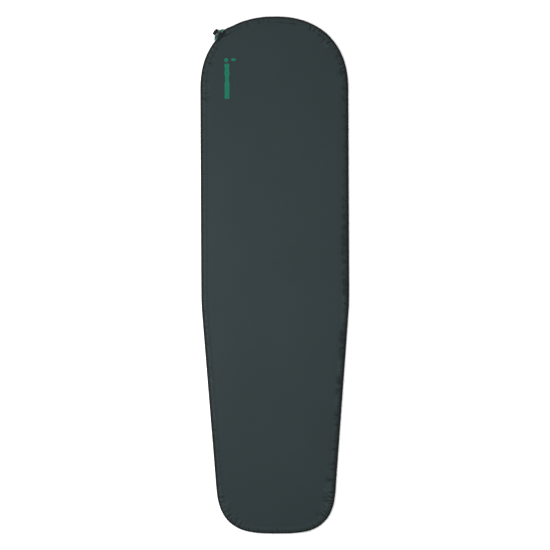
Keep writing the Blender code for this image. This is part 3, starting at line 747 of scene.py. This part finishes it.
def fabric_material(name, colour, pitch=CLOTH_PITCH, rough=0.74, painted_edge_shade=0.46):
    """Coated plain weave: yarns, slubs, uneven tone, painted shade and highlight on the folds, and
    an embossed weld at the edge, darkened with painted shade.
    """
    graph = Graph(name)
    x, y, z = graph.split(graph.place)
    facing = graph.split(graph.add("NewGeometry").outputs["Normal"])
    normal_x, normal_y = (graph.math("ABSOLUTE", part) for part in facing[:2])

    def up_walls(level, toward, other):
        """The coordinate, swapped for the height on steep walls that face along it."""
        wall = graph.times(graph.math("GREATER_THAN", toward, 0.6),
                           graph.math("GREATER_THAN", toward, other))
        return graph.plus(level, graph.times(wall, graph.minus(z, level)))

    across = up_walls(x, normal_x, normal_y)
    down = up_walls(y, normal_y, normal_x)
    yarns = graph.yarns(graph.weave(across, down, pitch))
    slub = graph.noise(scale=220.0, detail=4.0, rough=0.6)
    cloudy = graph.noise(scale=3.2, detail=3.0, rough=0.55)
    fine = graph.noise(scale=38.0, detail=5.0, rough=0.62)
    base = graph.mix(graph.ramp(cloudy, low=0.25, high=0.75),
                     scaled(colour, by=0.955), scaled(colour, by=1.045))
    base = graph.layer(base, graph.ramp(fine, low=0.35, high=0.70), share=0.35,
                       colour=scaled(colour, by=1.10))
    base = graph.layer(base, yarns, share=0.22, colour=scaled(colour, by=0.72))
    base = graph.layer(base, graph.ramp(slub, low=0.55, high=0.80), share=0.20,
                       colour=scaled(colour, by=1.35))
    # painted shade in the valleys of the folds, painted highlight on their ridges
    fold = graph.attribute("fold_shade_mm")
    base = graph.layer(base, graph.ramp(graph.times(fold, -1.0), low=0.15, high=1.7),
                       share=0.85, colour=scaled(colour, by=0.46))
    base = graph.layer(base, graph.ramp(fold, low=0.12, high=1.0), share=0.75,
                       colour=scaled(colour, by=1.36))
    # the weld, darkened with painted shade of the steep edge wall, and a line of painted shade in
    # the crease along its inner border
    wobble = graph.noise(scale=90.0, detail=2.0, rough=0.5)
    seam = graph.plus(graph.attribute("weld_and_shade_mm"), graph.centred(wobble, spread=1.6))
    weld = graph.minus(1.0, graph.ramp(seam, low=5.7, high=7.6))
    base = graph.mix(weld, base, scaled(colour, by=painted_edge_shade))
    crease_shade = graph.times(graph.ramp(seam, low=2.2, high=4.6),
                       graph.minus(1.0, graph.ramp(seam, low=6.6, high=10.0)))
    base = graph.layer(base, crease_shade, share=0.85, colour=scaled(colour, by=painted_edge_shade * 0.45))
    # the weld is glossier by 0.14
    roughness = graph.minus(graph.plus(graph.centred(fine, spread=0.16), rough),
                            graph.times(weld, 0.14))
    # emboss of the weld: fine diagonal knurl
    knurl = graph.times(graph.weave(graph.plus(x, y), graph.minus(x, y), pitch=1.5), weld)
    normal = graph.bump(yarns, strength=0.35, distance=0.00006)
    normal = graph.bump(fine, strength=0.30, distance=0.0006, below=normal)
    normal = graph.bump(knurl, strength=0.6, distance=0.00025, below=normal)
    return graph.finish({"Base Color": base, "Roughness": roughness, "Normal": normal,
                         "IOR": 1.42, "Specular IOR Level": 0.22, "Sheen Weight": 0.05,
                         "Sheen Roughness": 0.45, "Sheen Tint": (0.80, 0.95, 1.0)})


def plastic_material(name, colour, rough, coat=0.0, bump=0.25, shine=0.3):
    """Moulded plastic: fine grain, slightly uneven gloss, scuffed light on its edges."""
    graph = Graph(name)
    fine = graph.noise(scale=900.0, detail=3.0, rough=0.6)
    slow = graph.noise(scale=60.0, detail=4.0, rough=0.6)
    base = graph.mix(graph.ramp(slow, low=0.3, high=0.7),
                     scaled(colour, by=0.9), scaled(colour, by=1.1))
    pointed = graph.add("NewGeometry").outputs["Pointiness"]
    worn = graph.times(graph.ramp(pointed, low=0.52, high=0.62),
                       graph.ramp(slow, low=0.35, high=0.75))
    scuffed = tuple(min(1.0, c * 1.7 + 0.012) for c in colour)
    base = graph.layer(base, worn, share=0.5, colour=scuffed)
    return graph.finish({"Base Color": base,
                         "Roughness": graph.plus(graph.centred(slow, spread=0.22), rough),
                         "Coat Weight": coat, "IOR": 1.5, "Specular IOR Level": shine,
                         "Normal": graph.bump(fine, strength=bump, distance=0.00012)})


def print_material(name, colour):
    """Transfer film: the weave shows through it, and it is a little glossier than the cloth."""
    graph = Graph(name)
    x, y, _ = graph.split(graph.place)
    weave = graph.weave(x, y, CLOTH_PITCH)
    slow = graph.noise(scale=120.0, detail=5.0, rough=0.65)
    base = graph.mix(graph.ramp(slow, low=0.35, high=0.7),
                     scaled(colour, by=0.86), scaled(colour, by=1.10))
    base = graph.layer(base, graph.yarns(weave), share=0.18, colour=scaled(colour, by=0.55))
    return graph.finish({"Base Color": base, "Roughness": 0.66, "Specular IOR Level": 0.10,
                         "Normal": graph.bump(weave, strength=0.25, distance=0.00005)})


def foam_material(name):
    """Open-cell foam, pale yellow."""
    graph = Graph(name)
    voronoi = graph.add("TexVoronoi")
    voronoi.inputs["Scale"].default_value = 900.0
    graph.feed(voronoi.inputs["Vector"], graph.place)
    cells = voronoi.outputs["Distance"]
    slow = graph.noise(scale=14.0, detail=4.0, rough=0.6)
    base = graph.mix(graph.ramp(slow, low=0.3, high=0.7), (0.58, 0.55, 0.42), (0.70, 0.67, 0.55))
    base = graph.mix(graph.ramp(cells, low=0.0, high=0.5), (0.42, 0.39, 0.29), base)
    return graph.finish({"Base Color": base, "Roughness": 0.95,
                         "Normal": graph.bump(cells, strength=0.8, distance=0.0006)})


def steel_material(name):
    """Bare steel with fine drawn lines."""
    graph = Graph(name)
    stretch = graph.add("Mapping")
    stretch.inputs["Scale"].default_value = (1.0, 1.0, 30.0)
    graph.feed(stretch.inputs["Vector"], graph.place)
    lines = graph.noise(scale=300.0, detail=3.0, rough=0.6, vector=stretch.outputs["Vector"])
    return graph.finish({"Base Color": graph.mix(lines, (0.42, 0.43, 0.44), (0.66, 0.67, 0.68)),
                         "Metallic": 1.0,
                         "Roughness": graph.plus(graph.times(lines, 0.25), 0.18),
                         "Normal": graph.bump(lines, strength=0.2, distance=0.00008)})


def rubber_material(name, colour, rough=0.6, clear=0.0):
    """Rubber or silicone; `clear` is the weight of the light scattered inside it."""
    graph = Graph(name)
    fine = graph.noise(scale=1500.0, detail=3.0, rough=0.6)
    slow = graph.noise(scale=80.0, detail=3.0, rough=0.5)
    return graph.finish({
        "Base Color": graph.mix(slow, scaled(colour, by=0.85), scaled(colour, by=1.15)),
        "Roughness": graph.plus(graph.times(slow, 0.2), rough - 0.1),
        "Subsurface Weight": clear,
        "Subsurface Radius": Vector((0.002, 0.002, 0.002)),
        "Normal": graph.bump(fine, strength=0.2, distance=0.00006)})


FABRIC_TOP = fabric_material("fabric_top", (0.0250, 0.0376, 0.0402))
FABRIC_BASE = fabric_material("fabric_base", srgb(44, 51, 53), pitch=0.75, rough=0.68,
                              painted_edge_shade=0.60)
PRINT = print_material("print_film", (0.0115, 0.172, 0.104))
PRINT_DULL = print_material("print_film_dull", (0.017, 0.058, 0.049))
CAP_PLASTIC = plastic_material("cap_plastic", srgb(17, 22, 23), rough=0.55, shine=0.14)
BODY_PLASTIC = plastic_material("body_plastic", srgb(17, 21, 22), rough=0.55, shine=0.16)
COLLAR_PLASTIC = plastic_material("collar_plastic", srgb(44, 53, 55), rough=0.32, coat=0.05,
                                  bump=0.15, shine=0.35)
WING_PLASTIC = plastic_material("wing_plastic", srgb(28, 108, 84), rough=0.42, shine=0.2)
NATURAL_PLASTIC = plastic_material("natural_plastic", (0.55, 0.56, 0.54), rough=0.45)
FOAM = foam_material("foam")
STEEL = steel_material("spring_steel")
RUBBER = rubber_material("seal_rubber", (0.022, 0.022, 0.023))
SILICONE = rubber_material("silicone", (0.55, 0.57, 0.57), rough=0.45, clear=0.25)

# the frame's own pieces by material
NODE_SKINS = (
    (FOAM, "foam_core"),
    (BODY_PLASTIC, "valve_base valve_barrel plug_post"),
    (RUBBER, "barrel_o_ring wing_o_ring_inner wing_o_ring_outer plug_o_ring"),
    (NATURAL_PLASTIC, "barrel_lock_ring check_seat inlet_screen screen_retainer lifter "
                      "check_poppet"),
    (STEEL, "wing_clip seat_retainer lifter_cross_pin"),
    (SILICONE, "poppet_seal cap_gasket"),
    (CAP_PLASTIC, "cap"),
    (COLLAR_PLASTIC, "wing_collar"),
    (WING_PLASTIC, "wing_tab_left wing_tab_right"),
    (PRINT, "mark_bar mark_disc mark_dash"),
    (FABRIC_TOP, "top_shell"),
    (FABRIC_BASE, "bottom_shell"))
for material, nodes in NODE_SKINS:
    for node in nodes.split():
        slots = frame["nodes"][node].data.materials
        slots.clear()
        slots.append(material)

# ------------------------------------------------------------------ cushion
fabric_top = make_fabric("fabric_top", 1, FABRIC_TOP, "top_shell")
make_fabric("fabric_base", -1, FABRIC_BASE, "bottom_shell")


# ------------------------------------------------------------------ helpers for the small pieces
def fillet(corners, steps=5):
    """A closed outline with its corners rounded; each corner is (x, y, radius)."""
    found = []
    for i, (x, y, radius) in enumerate(corners):
        if radius <= 0:
            found.append((x, y))
            continue
        corner = Vector((x, y))
        back = Vector(corners[i - 1][:2]) - corner
        ahead = Vector(corners[(i + 1) % len(corners)][:2]) - corner
        half = back.angle(ahead) / 2
        cut = min(radius / math.tan(half), back.length * 0.49, ahead.length * 0.49)
        radius = cut * math.tan(half)
        back.normalize()
        ahead.normalize()
        centre = corner + (back + ahead).normalized() * (radius / math.sin(half))
        start, end = corner + back * cut - centre, corner + ahead * cut - centre
        total = start.angle(end)
        for k in range(steps + 1):
            share = k / steps
            point = centre + (start * math.sin((1 - share) * total)
                              + end * math.sin(share * total)) / math.sin(total)
            found.append((point.x, point.y))
    return found


def dense(outline, longest):
    """The closed outline with its long stretches divided."""
    found = []
    for i, here in enumerate(outline):
        there = outline[(i + 1) % len(outline)]
        parts = max(1, math.ceil(math.dist(here, there) / longest))
        found += [(here[0] + (there[0] - here[0]) * k / parts,
                   here[1] + (there[1] - here[1]) * k / parts) for k in range(parts)]
    return found


def lathe(outline, segments, shape=None):
    """A ring turned from a closed (radius, height) outline; shape() may change a radius."""
    points, faces = [], []
    count = len(outline)
    for i in range(segments):
        angle = 2 * math.pi * i / segments
        for radius, z in outline:
            reach = shape(radius, z, angle) if shape else radius
            points.append((reach * math.cos(angle), reach * math.sin(angle), z))
    for i in range(segments):
        j = (i + 1) % segments
        for k in range(count):
            after = (k + 1) % count
            faces.append((i * count + k, j * count + k, j * count + after, i * count + after))
    return points, faces


def tube_faces(around, rings):
    """Faces of a closed body lofted through `rings` rings of `around` points."""
    faces = [(k * around + i, k * around + (i + 1) % around,
              (k + 1) * around + (i + 1) % around, (k + 1) * around + i)
             for k in range(rings - 1) for i in range(around)]
    last = (rings - 1) * around
    return faces + [tuple(range(around))[::-1], tuple(range(last, last + around))]


def as_object(name, points, faces, merge=0.0):
    mesh = bpy.data.meshes.new(name)
    mesh.from_pydata([tuple(p) for p in points], [], faces)
    work = bmesh.new()
    work.from_mesh(mesh)
    if merge:
        bmesh.ops.remove_doubles(work, verts=work.verts, dist=merge)
    bmesh.ops.recalc_face_normals(work, faces=work.faces)
    work.to_mesh(mesh)
    work.free()
    made = bpy.data.objects.new(name, mesh)
    SCENE.collection.objects.link(made)
    return made


def boolean(made, other, operation):
    """Applies a Boolean of two objects and removes the second."""
    step = made.modifiers.new("cut", "BOOLEAN")
    step.operation = operation
    step.object = other
    bpy.context.view_layer.update()
    depsgraph = bpy.context.evaluated_depsgraph_get()
    result = bpy.data.meshes.new_from_object(made.evaluated_get(depsgraph))
    made.modifiers.remove(step)
    assert len(result.polygons) > 50, f"{made.name}: the {operation.lower()} left nothing"
    work = bmesh.new()
    work.from_mesh(result)
    bmesh.ops.triangulate(work, faces=[face for face in work.faces if len(face.verts) > 4])
    bmesh.ops.dissolve_degenerate(work, edges=work.edges, dist=0.004)
    work.to_mesh(result)
    work.free()
    old, made.data = made.data, result
    bpy.data.meshes.remove(old)
    bpy.data.objects.remove(other, do_unlink=True)


def settle(made, skin, body, replaced=(), matrix=None, sharp=34.0):
    """Scales a piece made in millimetres, places it, and fixes it to its body and finish."""
    made.data.transform((matrix or Matrix.Identity(4)) @ Matrix.Scale(MM, 4))
    made.data.materials.clear()
    made.data.materials.append(skin)
    made.data.shade_smooth()
    made.data.set_sharp_from_angle(angle=math.radians(sharp))
    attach(made, body)
    if replaced:
        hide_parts(*replaced)


def rod(name, radius, start, end, segments=24):
    """A cylinder between two points, with slightly domed ends."""
    start, end = Vector(start), Vector(end)
    turn = (end - start).to_track_quat("Z", "Y").to_matrix()
    length = (end - start).length
    # (radius, height) of each ring
    rings = [(radius * 0.6, 0.0), (radius * 0.88, 0.04 * radius), (radius, 0.18 * radius),
             (radius, length - 0.18 * radius), (radius * 0.88, length - 0.04 * radius),
             (radius * 0.6, length)]
    angles = [2 * math.pi * i / segments for i in range(segments)]
    points = [start + turn @ Vector((reach * math.cos(angle), reach * math.sin(angle), z))
              for reach, z in rings for angle in angles]
    return as_object(name, points, tube_faces(segments, len(rings)))


def to_outline(points, outline, skip=()):
    """Distance of points from the sides of a closed outline, leaving out the sides in skip."""
    best = np.full(len(points), 1e9)
    for i in range(len(outline)):
        if i in skip:
            continue
        start, end = np.array(outline[i]), np.array(outline[(i + 1) % len(outline)])
        way = end - start
        share = np.clip(((points - start) @ way) / max(1e-12, way @ way), 0, 1)
        gaps = np.linalg.norm(points - start - share[:, None] * way, axis=1)
        best = np.minimum(best, gaps)
    return best


def filling(outline, spacing, margin):
    """Rows of points inside a closed outline, kept `margin` away from it."""
    xs, ys = zip(*outline)
    points = hex_points((min(xs), max(xs)), (min(ys), max(ys)), spacing)
    inside = np.zeros(len(points), bool)
    for i in range(len(outline)):
        (x1, y1), (x2, y2) = outline[i], outline[(i + 1) % len(outline)]
        if y1 == y2:
            continue
        crossing = (x2 - x1) * (points[:, 1] - y1) / (y2 - y1) + x1
        inside ^= ((points[:, 1] < y1) != (points[:, 1] < y2)) & (points[:, 0] < crossing)
    return points[inside & (to_outline(points, outline) > margin)]


# ------------------------------------------------------------------ printed marks
cloth_mesh = fabric_top.data
CLOTH_TREE = BVHTree.FromPolygons([v.co.copy() for v in cloth_mesh.vertices],
                                  [tuple(p.vertices) for p in cloth_mesh.polygons])


def cloth_level(x, y):
    hit = CLOTH_TREE.ray_cast(Vector((x * MM, y * MM, 0.1)), Vector((0, 0, -1)))[0]
    return hit.z / MM


def film(name, outlines, skin, replaced=(), spacing=2.2):
    """Transfer film on the fabric: each outline is filled, laid on the cloth and thickened."""
    points, faces = [], []
    for outline in outlines:
        outline = dense(outline, spacing)
        flat, tris = triangulated(outline, [], filling(outline, spacing, spacing * 0.45))
        level = [cloth_level(x, y) for x, y in flat]
        edge = to_outline(flat, outline)
        start, under = len(points), len(points) + len(flat)
        points += [(x, y, z + 0.05 + 0.06 * min(1.0, gap / 0.5))
                   for (x, y), z, gap in zip(flat, level, edge)]
        points += [(x, y, z + 0.02) for (x, y), z in zip(flat, level)]
        for tri in tris:
            faces.append(tuple(start + i for i in tri))
            faces.append(tuple(under + i for i in tri[::-1]))
        for i in range(len(outline)):
            j = (i + 1) % len(outline)
            faces.append((start + i, under + i, under + j, start + j))
    settle(as_object(name, points, faces), skin, "pad", replaced, sharp=50.0)


def shifted(outline, x, y, turn=0.0):
    cos, sin = math.cos(turn), math.sin(turn)
    return [(x + px * cos - py * sin, y + px * sin + py * cos) for px, py in outline]


def pill(width, height, radius):
    return fillet([(width / 2, -height / 2, radius), (width / 2, height / 2, radius),
                   (-width / 2, height / 2, radius), (-width / 2, -height / 2, radius)], 6)


def middle(node):
    """(x, y) of the middle of a frame piece, in millimetres."""
    low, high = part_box(node)
    return (low.x + high.x) / 2 / MM, (low.y + high.y) / 2 / MM


bar_lo, bar_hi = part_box("mark_bar")
BAR_X = middle("mark_bar")[0] + 0.8
BAR_Y0, BAR_Y1 = bar_lo.y / MM, bar_hi.y / MM
# the bar: share of its length from the foot end, half width
WAISTS = ((0.0, 8.6), (0.10, 8.6), (0.14, 8.2), (0.43, 8.6), (0.50, 6.7), (0.63, 6.7),
          (0.70, 9.0), (0.78, 9.0), (0.83, 6.8), (0.87, 6.8), (0.92, 8.9), (1.0, 8.7))
BAR_END = 0.028             # share of the length that is rounded at each end


def bar_outline():
    shares = np.linspace(0, 1, 63)
    half = np.interp(shares, *zip(*WAISTS))
    half = np.convolve(np.pad(half, 2, "edge"), np.ones(5) / 5, "valid")
    past = np.maximum(0, np.abs(shares - 0.5) - (0.5 - BAR_END)) / BAR_END
    half = half * np.clip(1 - past ** 2 * 0.35, 0, 1)
    ys = BAR_Y0 + (BAR_Y1 - BAR_Y0) * shares
    right = [(BAR_X + width, y) for width, y in zip(half, ys)]
    left = [(BAR_X - width, y) for width, y in zip(half, ys)]
    return right + left[::-1]


film("mark_bar_film", [bar_outline()], PRINT, ("mark_bar",))
DISC_R = 7.0
disc = [(DISC_R * math.cos(2 * math.pi * i / 40), DISC_R * math.sin(2 * math.pi * i / 40))
        for i in range(40)]
film("mark_disc_film", [shifted(disc, *middle("mark_disc"))], PRINT, ("mark_disc",), 1.6)
film("mark_dash_film", [shifted(pill(17.0, 9.0, 4.4), *middle("mark_dash"))], PRINT,
     ("mark_dash",), 1.6)

# a column of small dashes beside the bar, every third one short of the next two's half width
TICK_COUNT, TICK_PITCH, TICK_H, TICK_R = 19, 6.4, 2.4, 1.15
TICK_LONG, TICK_SHORT = 8.6, 4.4
TICKS = [shifted(pill(TICK_SHORT if i % 3 else TICK_LONG, TICK_H, TICK_R),
                 BAR_X + 27.5, BAR_Y1 - 2.0 - i * TICK_PITCH) for i in range(TICK_COUNT)]
film("mark_ticks_film", TICKS, PRINT_DULL, spacing=1.1)

# two dashes on the rim inside the valve: offset along the edge, offset outwards, turn
VALVE_DASHES = ((19.6, -17.8, 0.25), (6.0, -31.5, 0.05))
dashes = [shifted(pill(7.5, 3.6, 1.7), *(VALVE_XY + aside * SIDE_XY + outward * OUT_XY), turn)
          for aside, outward, turn in VALVE_DASHES]
film("valve_ticks_film", dashes, PRINT_DULL, spacing=0.9)

# ------------------------------------------------------------------ valve
BORE_R = 8.3                # bore of the collar and of the cap's skirt
COLLAR_R, COLLAR_BOTTOM, COLLAR_TOP = 10.9, 2.1, 10.4
GROOVE_R = 10.72            # radius at the bottom of the collar's grooves
CAP_R, CAP_BOTTOM, CAP_TOP = 11.4, 11.7, 23.0


def seam_near_valve():
    """The true edge in valve axes: offsets along it, in rising order, and outwards."""
    xy, out, _ = at_edge(VALVE_ALONG + np.arange(-60, 60.5, 0.5))
    away = xy + out * fuller(xy)[:, None] - VALVE_XY
    aside, outward = away @ SIDE_XY, away @ OUT_XY
    order = np.argsort(aside)
    return aside[order], outward[order]


# stations of the weld base: height on the valve axis, share of the full section
BASE_RIBS = ((-10.5, 0.94), (-10.2, 1.0), (-8.7, 1.0), (-8.5, 0.965), (-6.9, 0.965),
             (-6.7, 1.0), (-4.9, 1.0), (-4.7, 0.965), (-3.1, 0.965), (-2.9, 1.0),
             (-1.0, 1.0), (-0.05, 1.0), (0.18, 0.985), (0.32, 0.95))
# section of the tube through it: radius, height, corner radius
BASE_TUBE = ((10.6, 0.9, 0.22), (10.6, 0.25, 0.2), (9.55, 0.1, 0), (9.55, -15.2, 0),
             (8.8, -16.0, 0.3), (8.35, -16.0, 0), (8.35, 0.9, 0.1))


def weld_base():
    """A boat-shaped lens between the fabrics, with a tube through it."""
    seam = seam_near_valve()
    upper = [24.0 * math.cos(math.pi * i / 40) for i in range(41)]
    lens = [(x, max(0.3, BOAT_H * math.exp(-((x / BOAT_W) ** 2)))) for x in upper]
    lens += [(x, -y) for x, y in reversed(lens)]
    # all but the outer stations follow the curve of the seam; the thin tips keep their height
    points = [(x, y * (share if abs(y) > 0.5 else 1.0),
               z + (float(np.interp(x, *seam)) if z < -0.5 else 0.0))
              for z, share in BASE_RIBS for x, y in lens]
    base = as_object("valve_base_moulding", points, tube_faces(len(lens), len(BASE_RIBS)))
    tube = as_object("base_tube", *lathe(dense(fillet(BASE_TUBE, 3), 6), 72))
    bore = [(0.001, 4.0), (8.36, 4.0), (8.36, -22.0), (0.001, -22.0)]
    core = as_object("base_bore", *lathe(bore, 72), merge=0.01)
    boolean(base, core, "DIFFERENCE")
    boolean(base, tube, "UNION")
    settle(base, BODY_PLASTIC, "pad", ("valve_base",), VALVE_FRAME, 38)


def collar_shape(radius, z, angle):
    """Flat lands on the collar where the wings join it."""
    cos, sin = abs(math.cos(angle)), abs(math.sin(angle))
    if radius > 10.3 and 2.5 < z < 10.1 and radius * sin < 2.0 and cos > 0.5:
        return max(radius, 10.97 / cos)
    return radius


def wing_collar():
    """The turning ring that carries the wings: three grooves outside, a wide one inside."""
    outline = [(COLLAR_R, COLLAR_TOP, 0.55)]
    for z in (8.9, 6.25, 3.6):
        outline += [(COLLAR_R, z + 0.26, 0.06), (GROOVE_R, z + 0.14, 0),
                    (GROOVE_R, z - 0.14, 0), (COLLAR_R, z - 0.26, 0.06)]
    outline += [(COLLAR_R, COLLAR_BOTTOM, 0.55), (BORE_R, COLLAR_BOTTOM, 0.25),
                (BORE_R, 3.5, 0.1), (9.95, 3.7, 0.1), (9.95, 8.7, 0.1), (BORE_R, 8.9, 0.1),
                (BORE_R, COLLAR_TOP, 0.25)]
    collar = as_object("wing_collar_ring",
                       *lathe(dense(fillet(outline, 4), 1.2), 180, collar_shape))
    settle(collar, COLLAR_PLASTIC, "wings", ("wing_collar",), VALVE_FRAME, 30)


# outline of a wing: distance from the axis, height on it, corner radius
WING_ROOT = 11.0
WING_CORNERS = ((WING_ROOT, 1.5, 0), (25.85, 0.8, 1.25), (25.85, 3.45, 0.95),
                (14.4, 11.35, 1.5), (WING_ROOT, 11.35, 0))
WING_HALF_T, WING_EDGE = 1.4, 1.25      # half thickness, width of the rounded edge
WING_RIDGES = (15.6, 17.2, 18.8, 20.4, 22.0)


def unit(vectors):
    return vectors / np.linalg.norm(vectors, axis=1)[:, None]


def left_of(vectors):
    return np.stack([-vectors[:, 1], vectors[:, 0]], 1)


def wing_rings(outline):
    """Closed rings a little way inside the outline, mitred at its corners."""
    corners = np.array(outline)
    before = left_of(unit(corners - np.roll(corners, 1, 0)))
    after = left_of(unit(np.roll(corners, -1, 0) - corners))
    mitre = unit(before + after)
    mitre /= np.maximum(0.6, (mitre * after).sum(1))[:, None]
    return [[tuple(p) for p in corners + mitre * depth] for depth in (0.07, 0.22, 0.45, 0.75)]


def wing(name, side, node):
    """A delta-shaped finger tab: pillow edges, a shallow dish and cross ridges on each face."""
    outline = dense(fillet(WING_CORNERS, 8), 0.42)
    count = len(outline)
    at_root = [x < WING_ROOT + 0.001 for x, _ in outline]
    root = {i for i in range(count) if at_root[i] and at_root[(i + 1) % count]}
    flat, tris = triangulated(outline, wing_rings(outline), filling(outline, 0.36, 1.0))
    reach = flat[:, 0]
    depth = to_outline(flat, outline, root)
    share = np.clip(depth / WING_EDGE, 0, 1)
    thick = WING_HALF_T * np.sqrt(np.maximum(0, 1 - (1 - share) ** 2))
    dish = 0.42 * smoothstep(1.1, 2.6, depth) * smoothstep(12.0, 14.5, reach)
    ridges = sum(bell(reach - x, 0.36) for x in WING_RIDGES)
    thick = thick - dish + 0.46 * ridges * smoothstep(1.1, 1.9, depth)
    thick[depth < 1e-6] = 0.0
    total = len(flat)
    points = [(side * x, face * y, z) for face in (1, -1) for (x, z), y in zip(flat, thick)]
    faces = [tuple(tri) for tri in tris] + [tuple(i + total for i in tri[::-1]) for tri in tris]
    for i in sorted(root):
        j = (i + 1) % count
        quad = [i, j, j + total, i + total]
        for k in (i, j):
            if thick[k] == 0:
                quad.remove(k + total)
        faces.append(tuple(quad))
    made = as_object(name, points, faces, merge=1e-4)
    settle(made, WING_PLASTIC, "wings", (node,), VALVE_FRAME, 42)


def grip(radius, z, angle):
    """36 grip flutes round the cap's skirt, fading at both ends."""
    if radius < 11.0:
        return radius
    fade = max(0.0, min(1.0, (z - 12.4) / 0.7)) * max(0.0, min(1.0, (20.6 - z) / 1.4))
    return radius - 0.42 * fade * (0.5 - 0.5 * math.cos(36 * angle)) ** 1.5


def cap():
    """A fluted skirt with a rounded crown, a ring-shaped recess and a hole in the middle."""
    # radius, height, corner radius
    outline = [(4.3, CAP_TOP, 0.35), (4.3, 20.1, 0), (BORE_R, 20.1, 0.3),
               (BORE_R, CAP_BOTTOM, 0.3), (CAP_R, CAP_BOTTOM, 0.45), (CAP_R, CAP_TOP, 2.5),
               (8.9, CAP_TOP, 0.25), (8.5, 22.65, 0.25), (5.9, 22.65, 0.25),
               (5.5, CAP_TOP, 0.25)]
    made = as_object("cap_body", *lathe(dense(fillet(outline, 5), 1.3), 216, grip))
    # two lugs inside the skirt
    for side in (1, -1):
        lug = rod("lug", 0.95, (0, 7.3 * side, 13.6), (0, 9.2 * side, 13.6))
        boolean(made, lug, "UNION")
    settle(made, CAP_PLASTIC, "cap", ("cap",), VALVE_FRAME, 38)


weld_base()
wing_collar()
wing("wing_left", 1, "wing_tab_left")
wing("wing_right", -1, "wing_tab_right")
cap()

# ------------------------------------------------------------------ stage
floor_mesh = bpy.data.meshes.new("floor")
floor_mesh.from_pydata([(-30, -30, 0), (30, -30, 0), (30, 30, 0), (-30, 30, 0)], [],
                       [(0, 1, 2, 3)])
floor = bpy.data.objects.new("floor", floor_mesh)
floor.location.z = -0.0006
SCENE.collection.objects.link(floor)
pale = Graph("pale_floor")
# the camera sees the floor brighter than the light bounced off it
seen = pale.add("LightPath").outputs["Is Camera Ray"]
floor_mesh.materials.append(pale.finish({
    "Base Color": pale.mix(seen, (0.80, 0.80, 0.80), (1.6, 1.6, 1.6)),
    "Roughness": 0.9, "Specular IOR Level": 0.0}))

world = bpy.data.worlds.new("studio")
SCENE.world = world
world.use_nodes = True
background = world.node_tree.nodes["Background"]
background.inputs["Color"].default_value = (1, 1, 1, 1)
background.inputs["Strength"].default_value = 0.50


def area(name, where, aim, size, power):
    """A rectangular lamp aimed at a point; metres and watts."""
    light = bpy.data.lights.new(name, "AREA")
    light.shape = "RECTANGLE"
    light.size, light.size_y = size
    light.energy = power
    made = bpy.data.objects.new(name, light)
    SCENE.collection.objects.link(made)
    made.location = where
    made.rotation_euler = (Vector(aim) - Vector(where)).to_track_quat("-Z", "Y").to_euler()


area("key_left", where=(-1.2, -0.05, 0.95), aim=(0.05, -0.05, 0), size=(0.7, 1.7), power=9.5)
area("key_head", where=(0.05, 2.1, 0.7), aim=(0.0, 0.7, 0), size=(1.4, 0.5), power=1.6)
area("fill_top", where=(-0.55, 0.08, 2.35), aim=(-0.2, 0.03, 0), size=(1.0, 1.5), power=29.5)

# the camera looks straight down
camera = bpy.data.cameras.new("camera")
camera.sensor_width = 36.0
camera.lens = 85.0
camera.clip_end = 100.0
camera_at = bpy.data.objects.new("camera", camera)
SCENE.collection.objects.link(camera_at)
SCENE.camera = camera_at
camera_at.location = (-0.0003, 0.0, 0.0124 + 4.597)
camera_at.rotation_euler = (0, 0, math.radians(-0.244))

SCENE.view_settings.view_transform = "Standard"
SCENE.view_settings.look = "None"
SCENE.view_settings.exposure = 0.0
SCENE.view_settings.gamma = 1.0
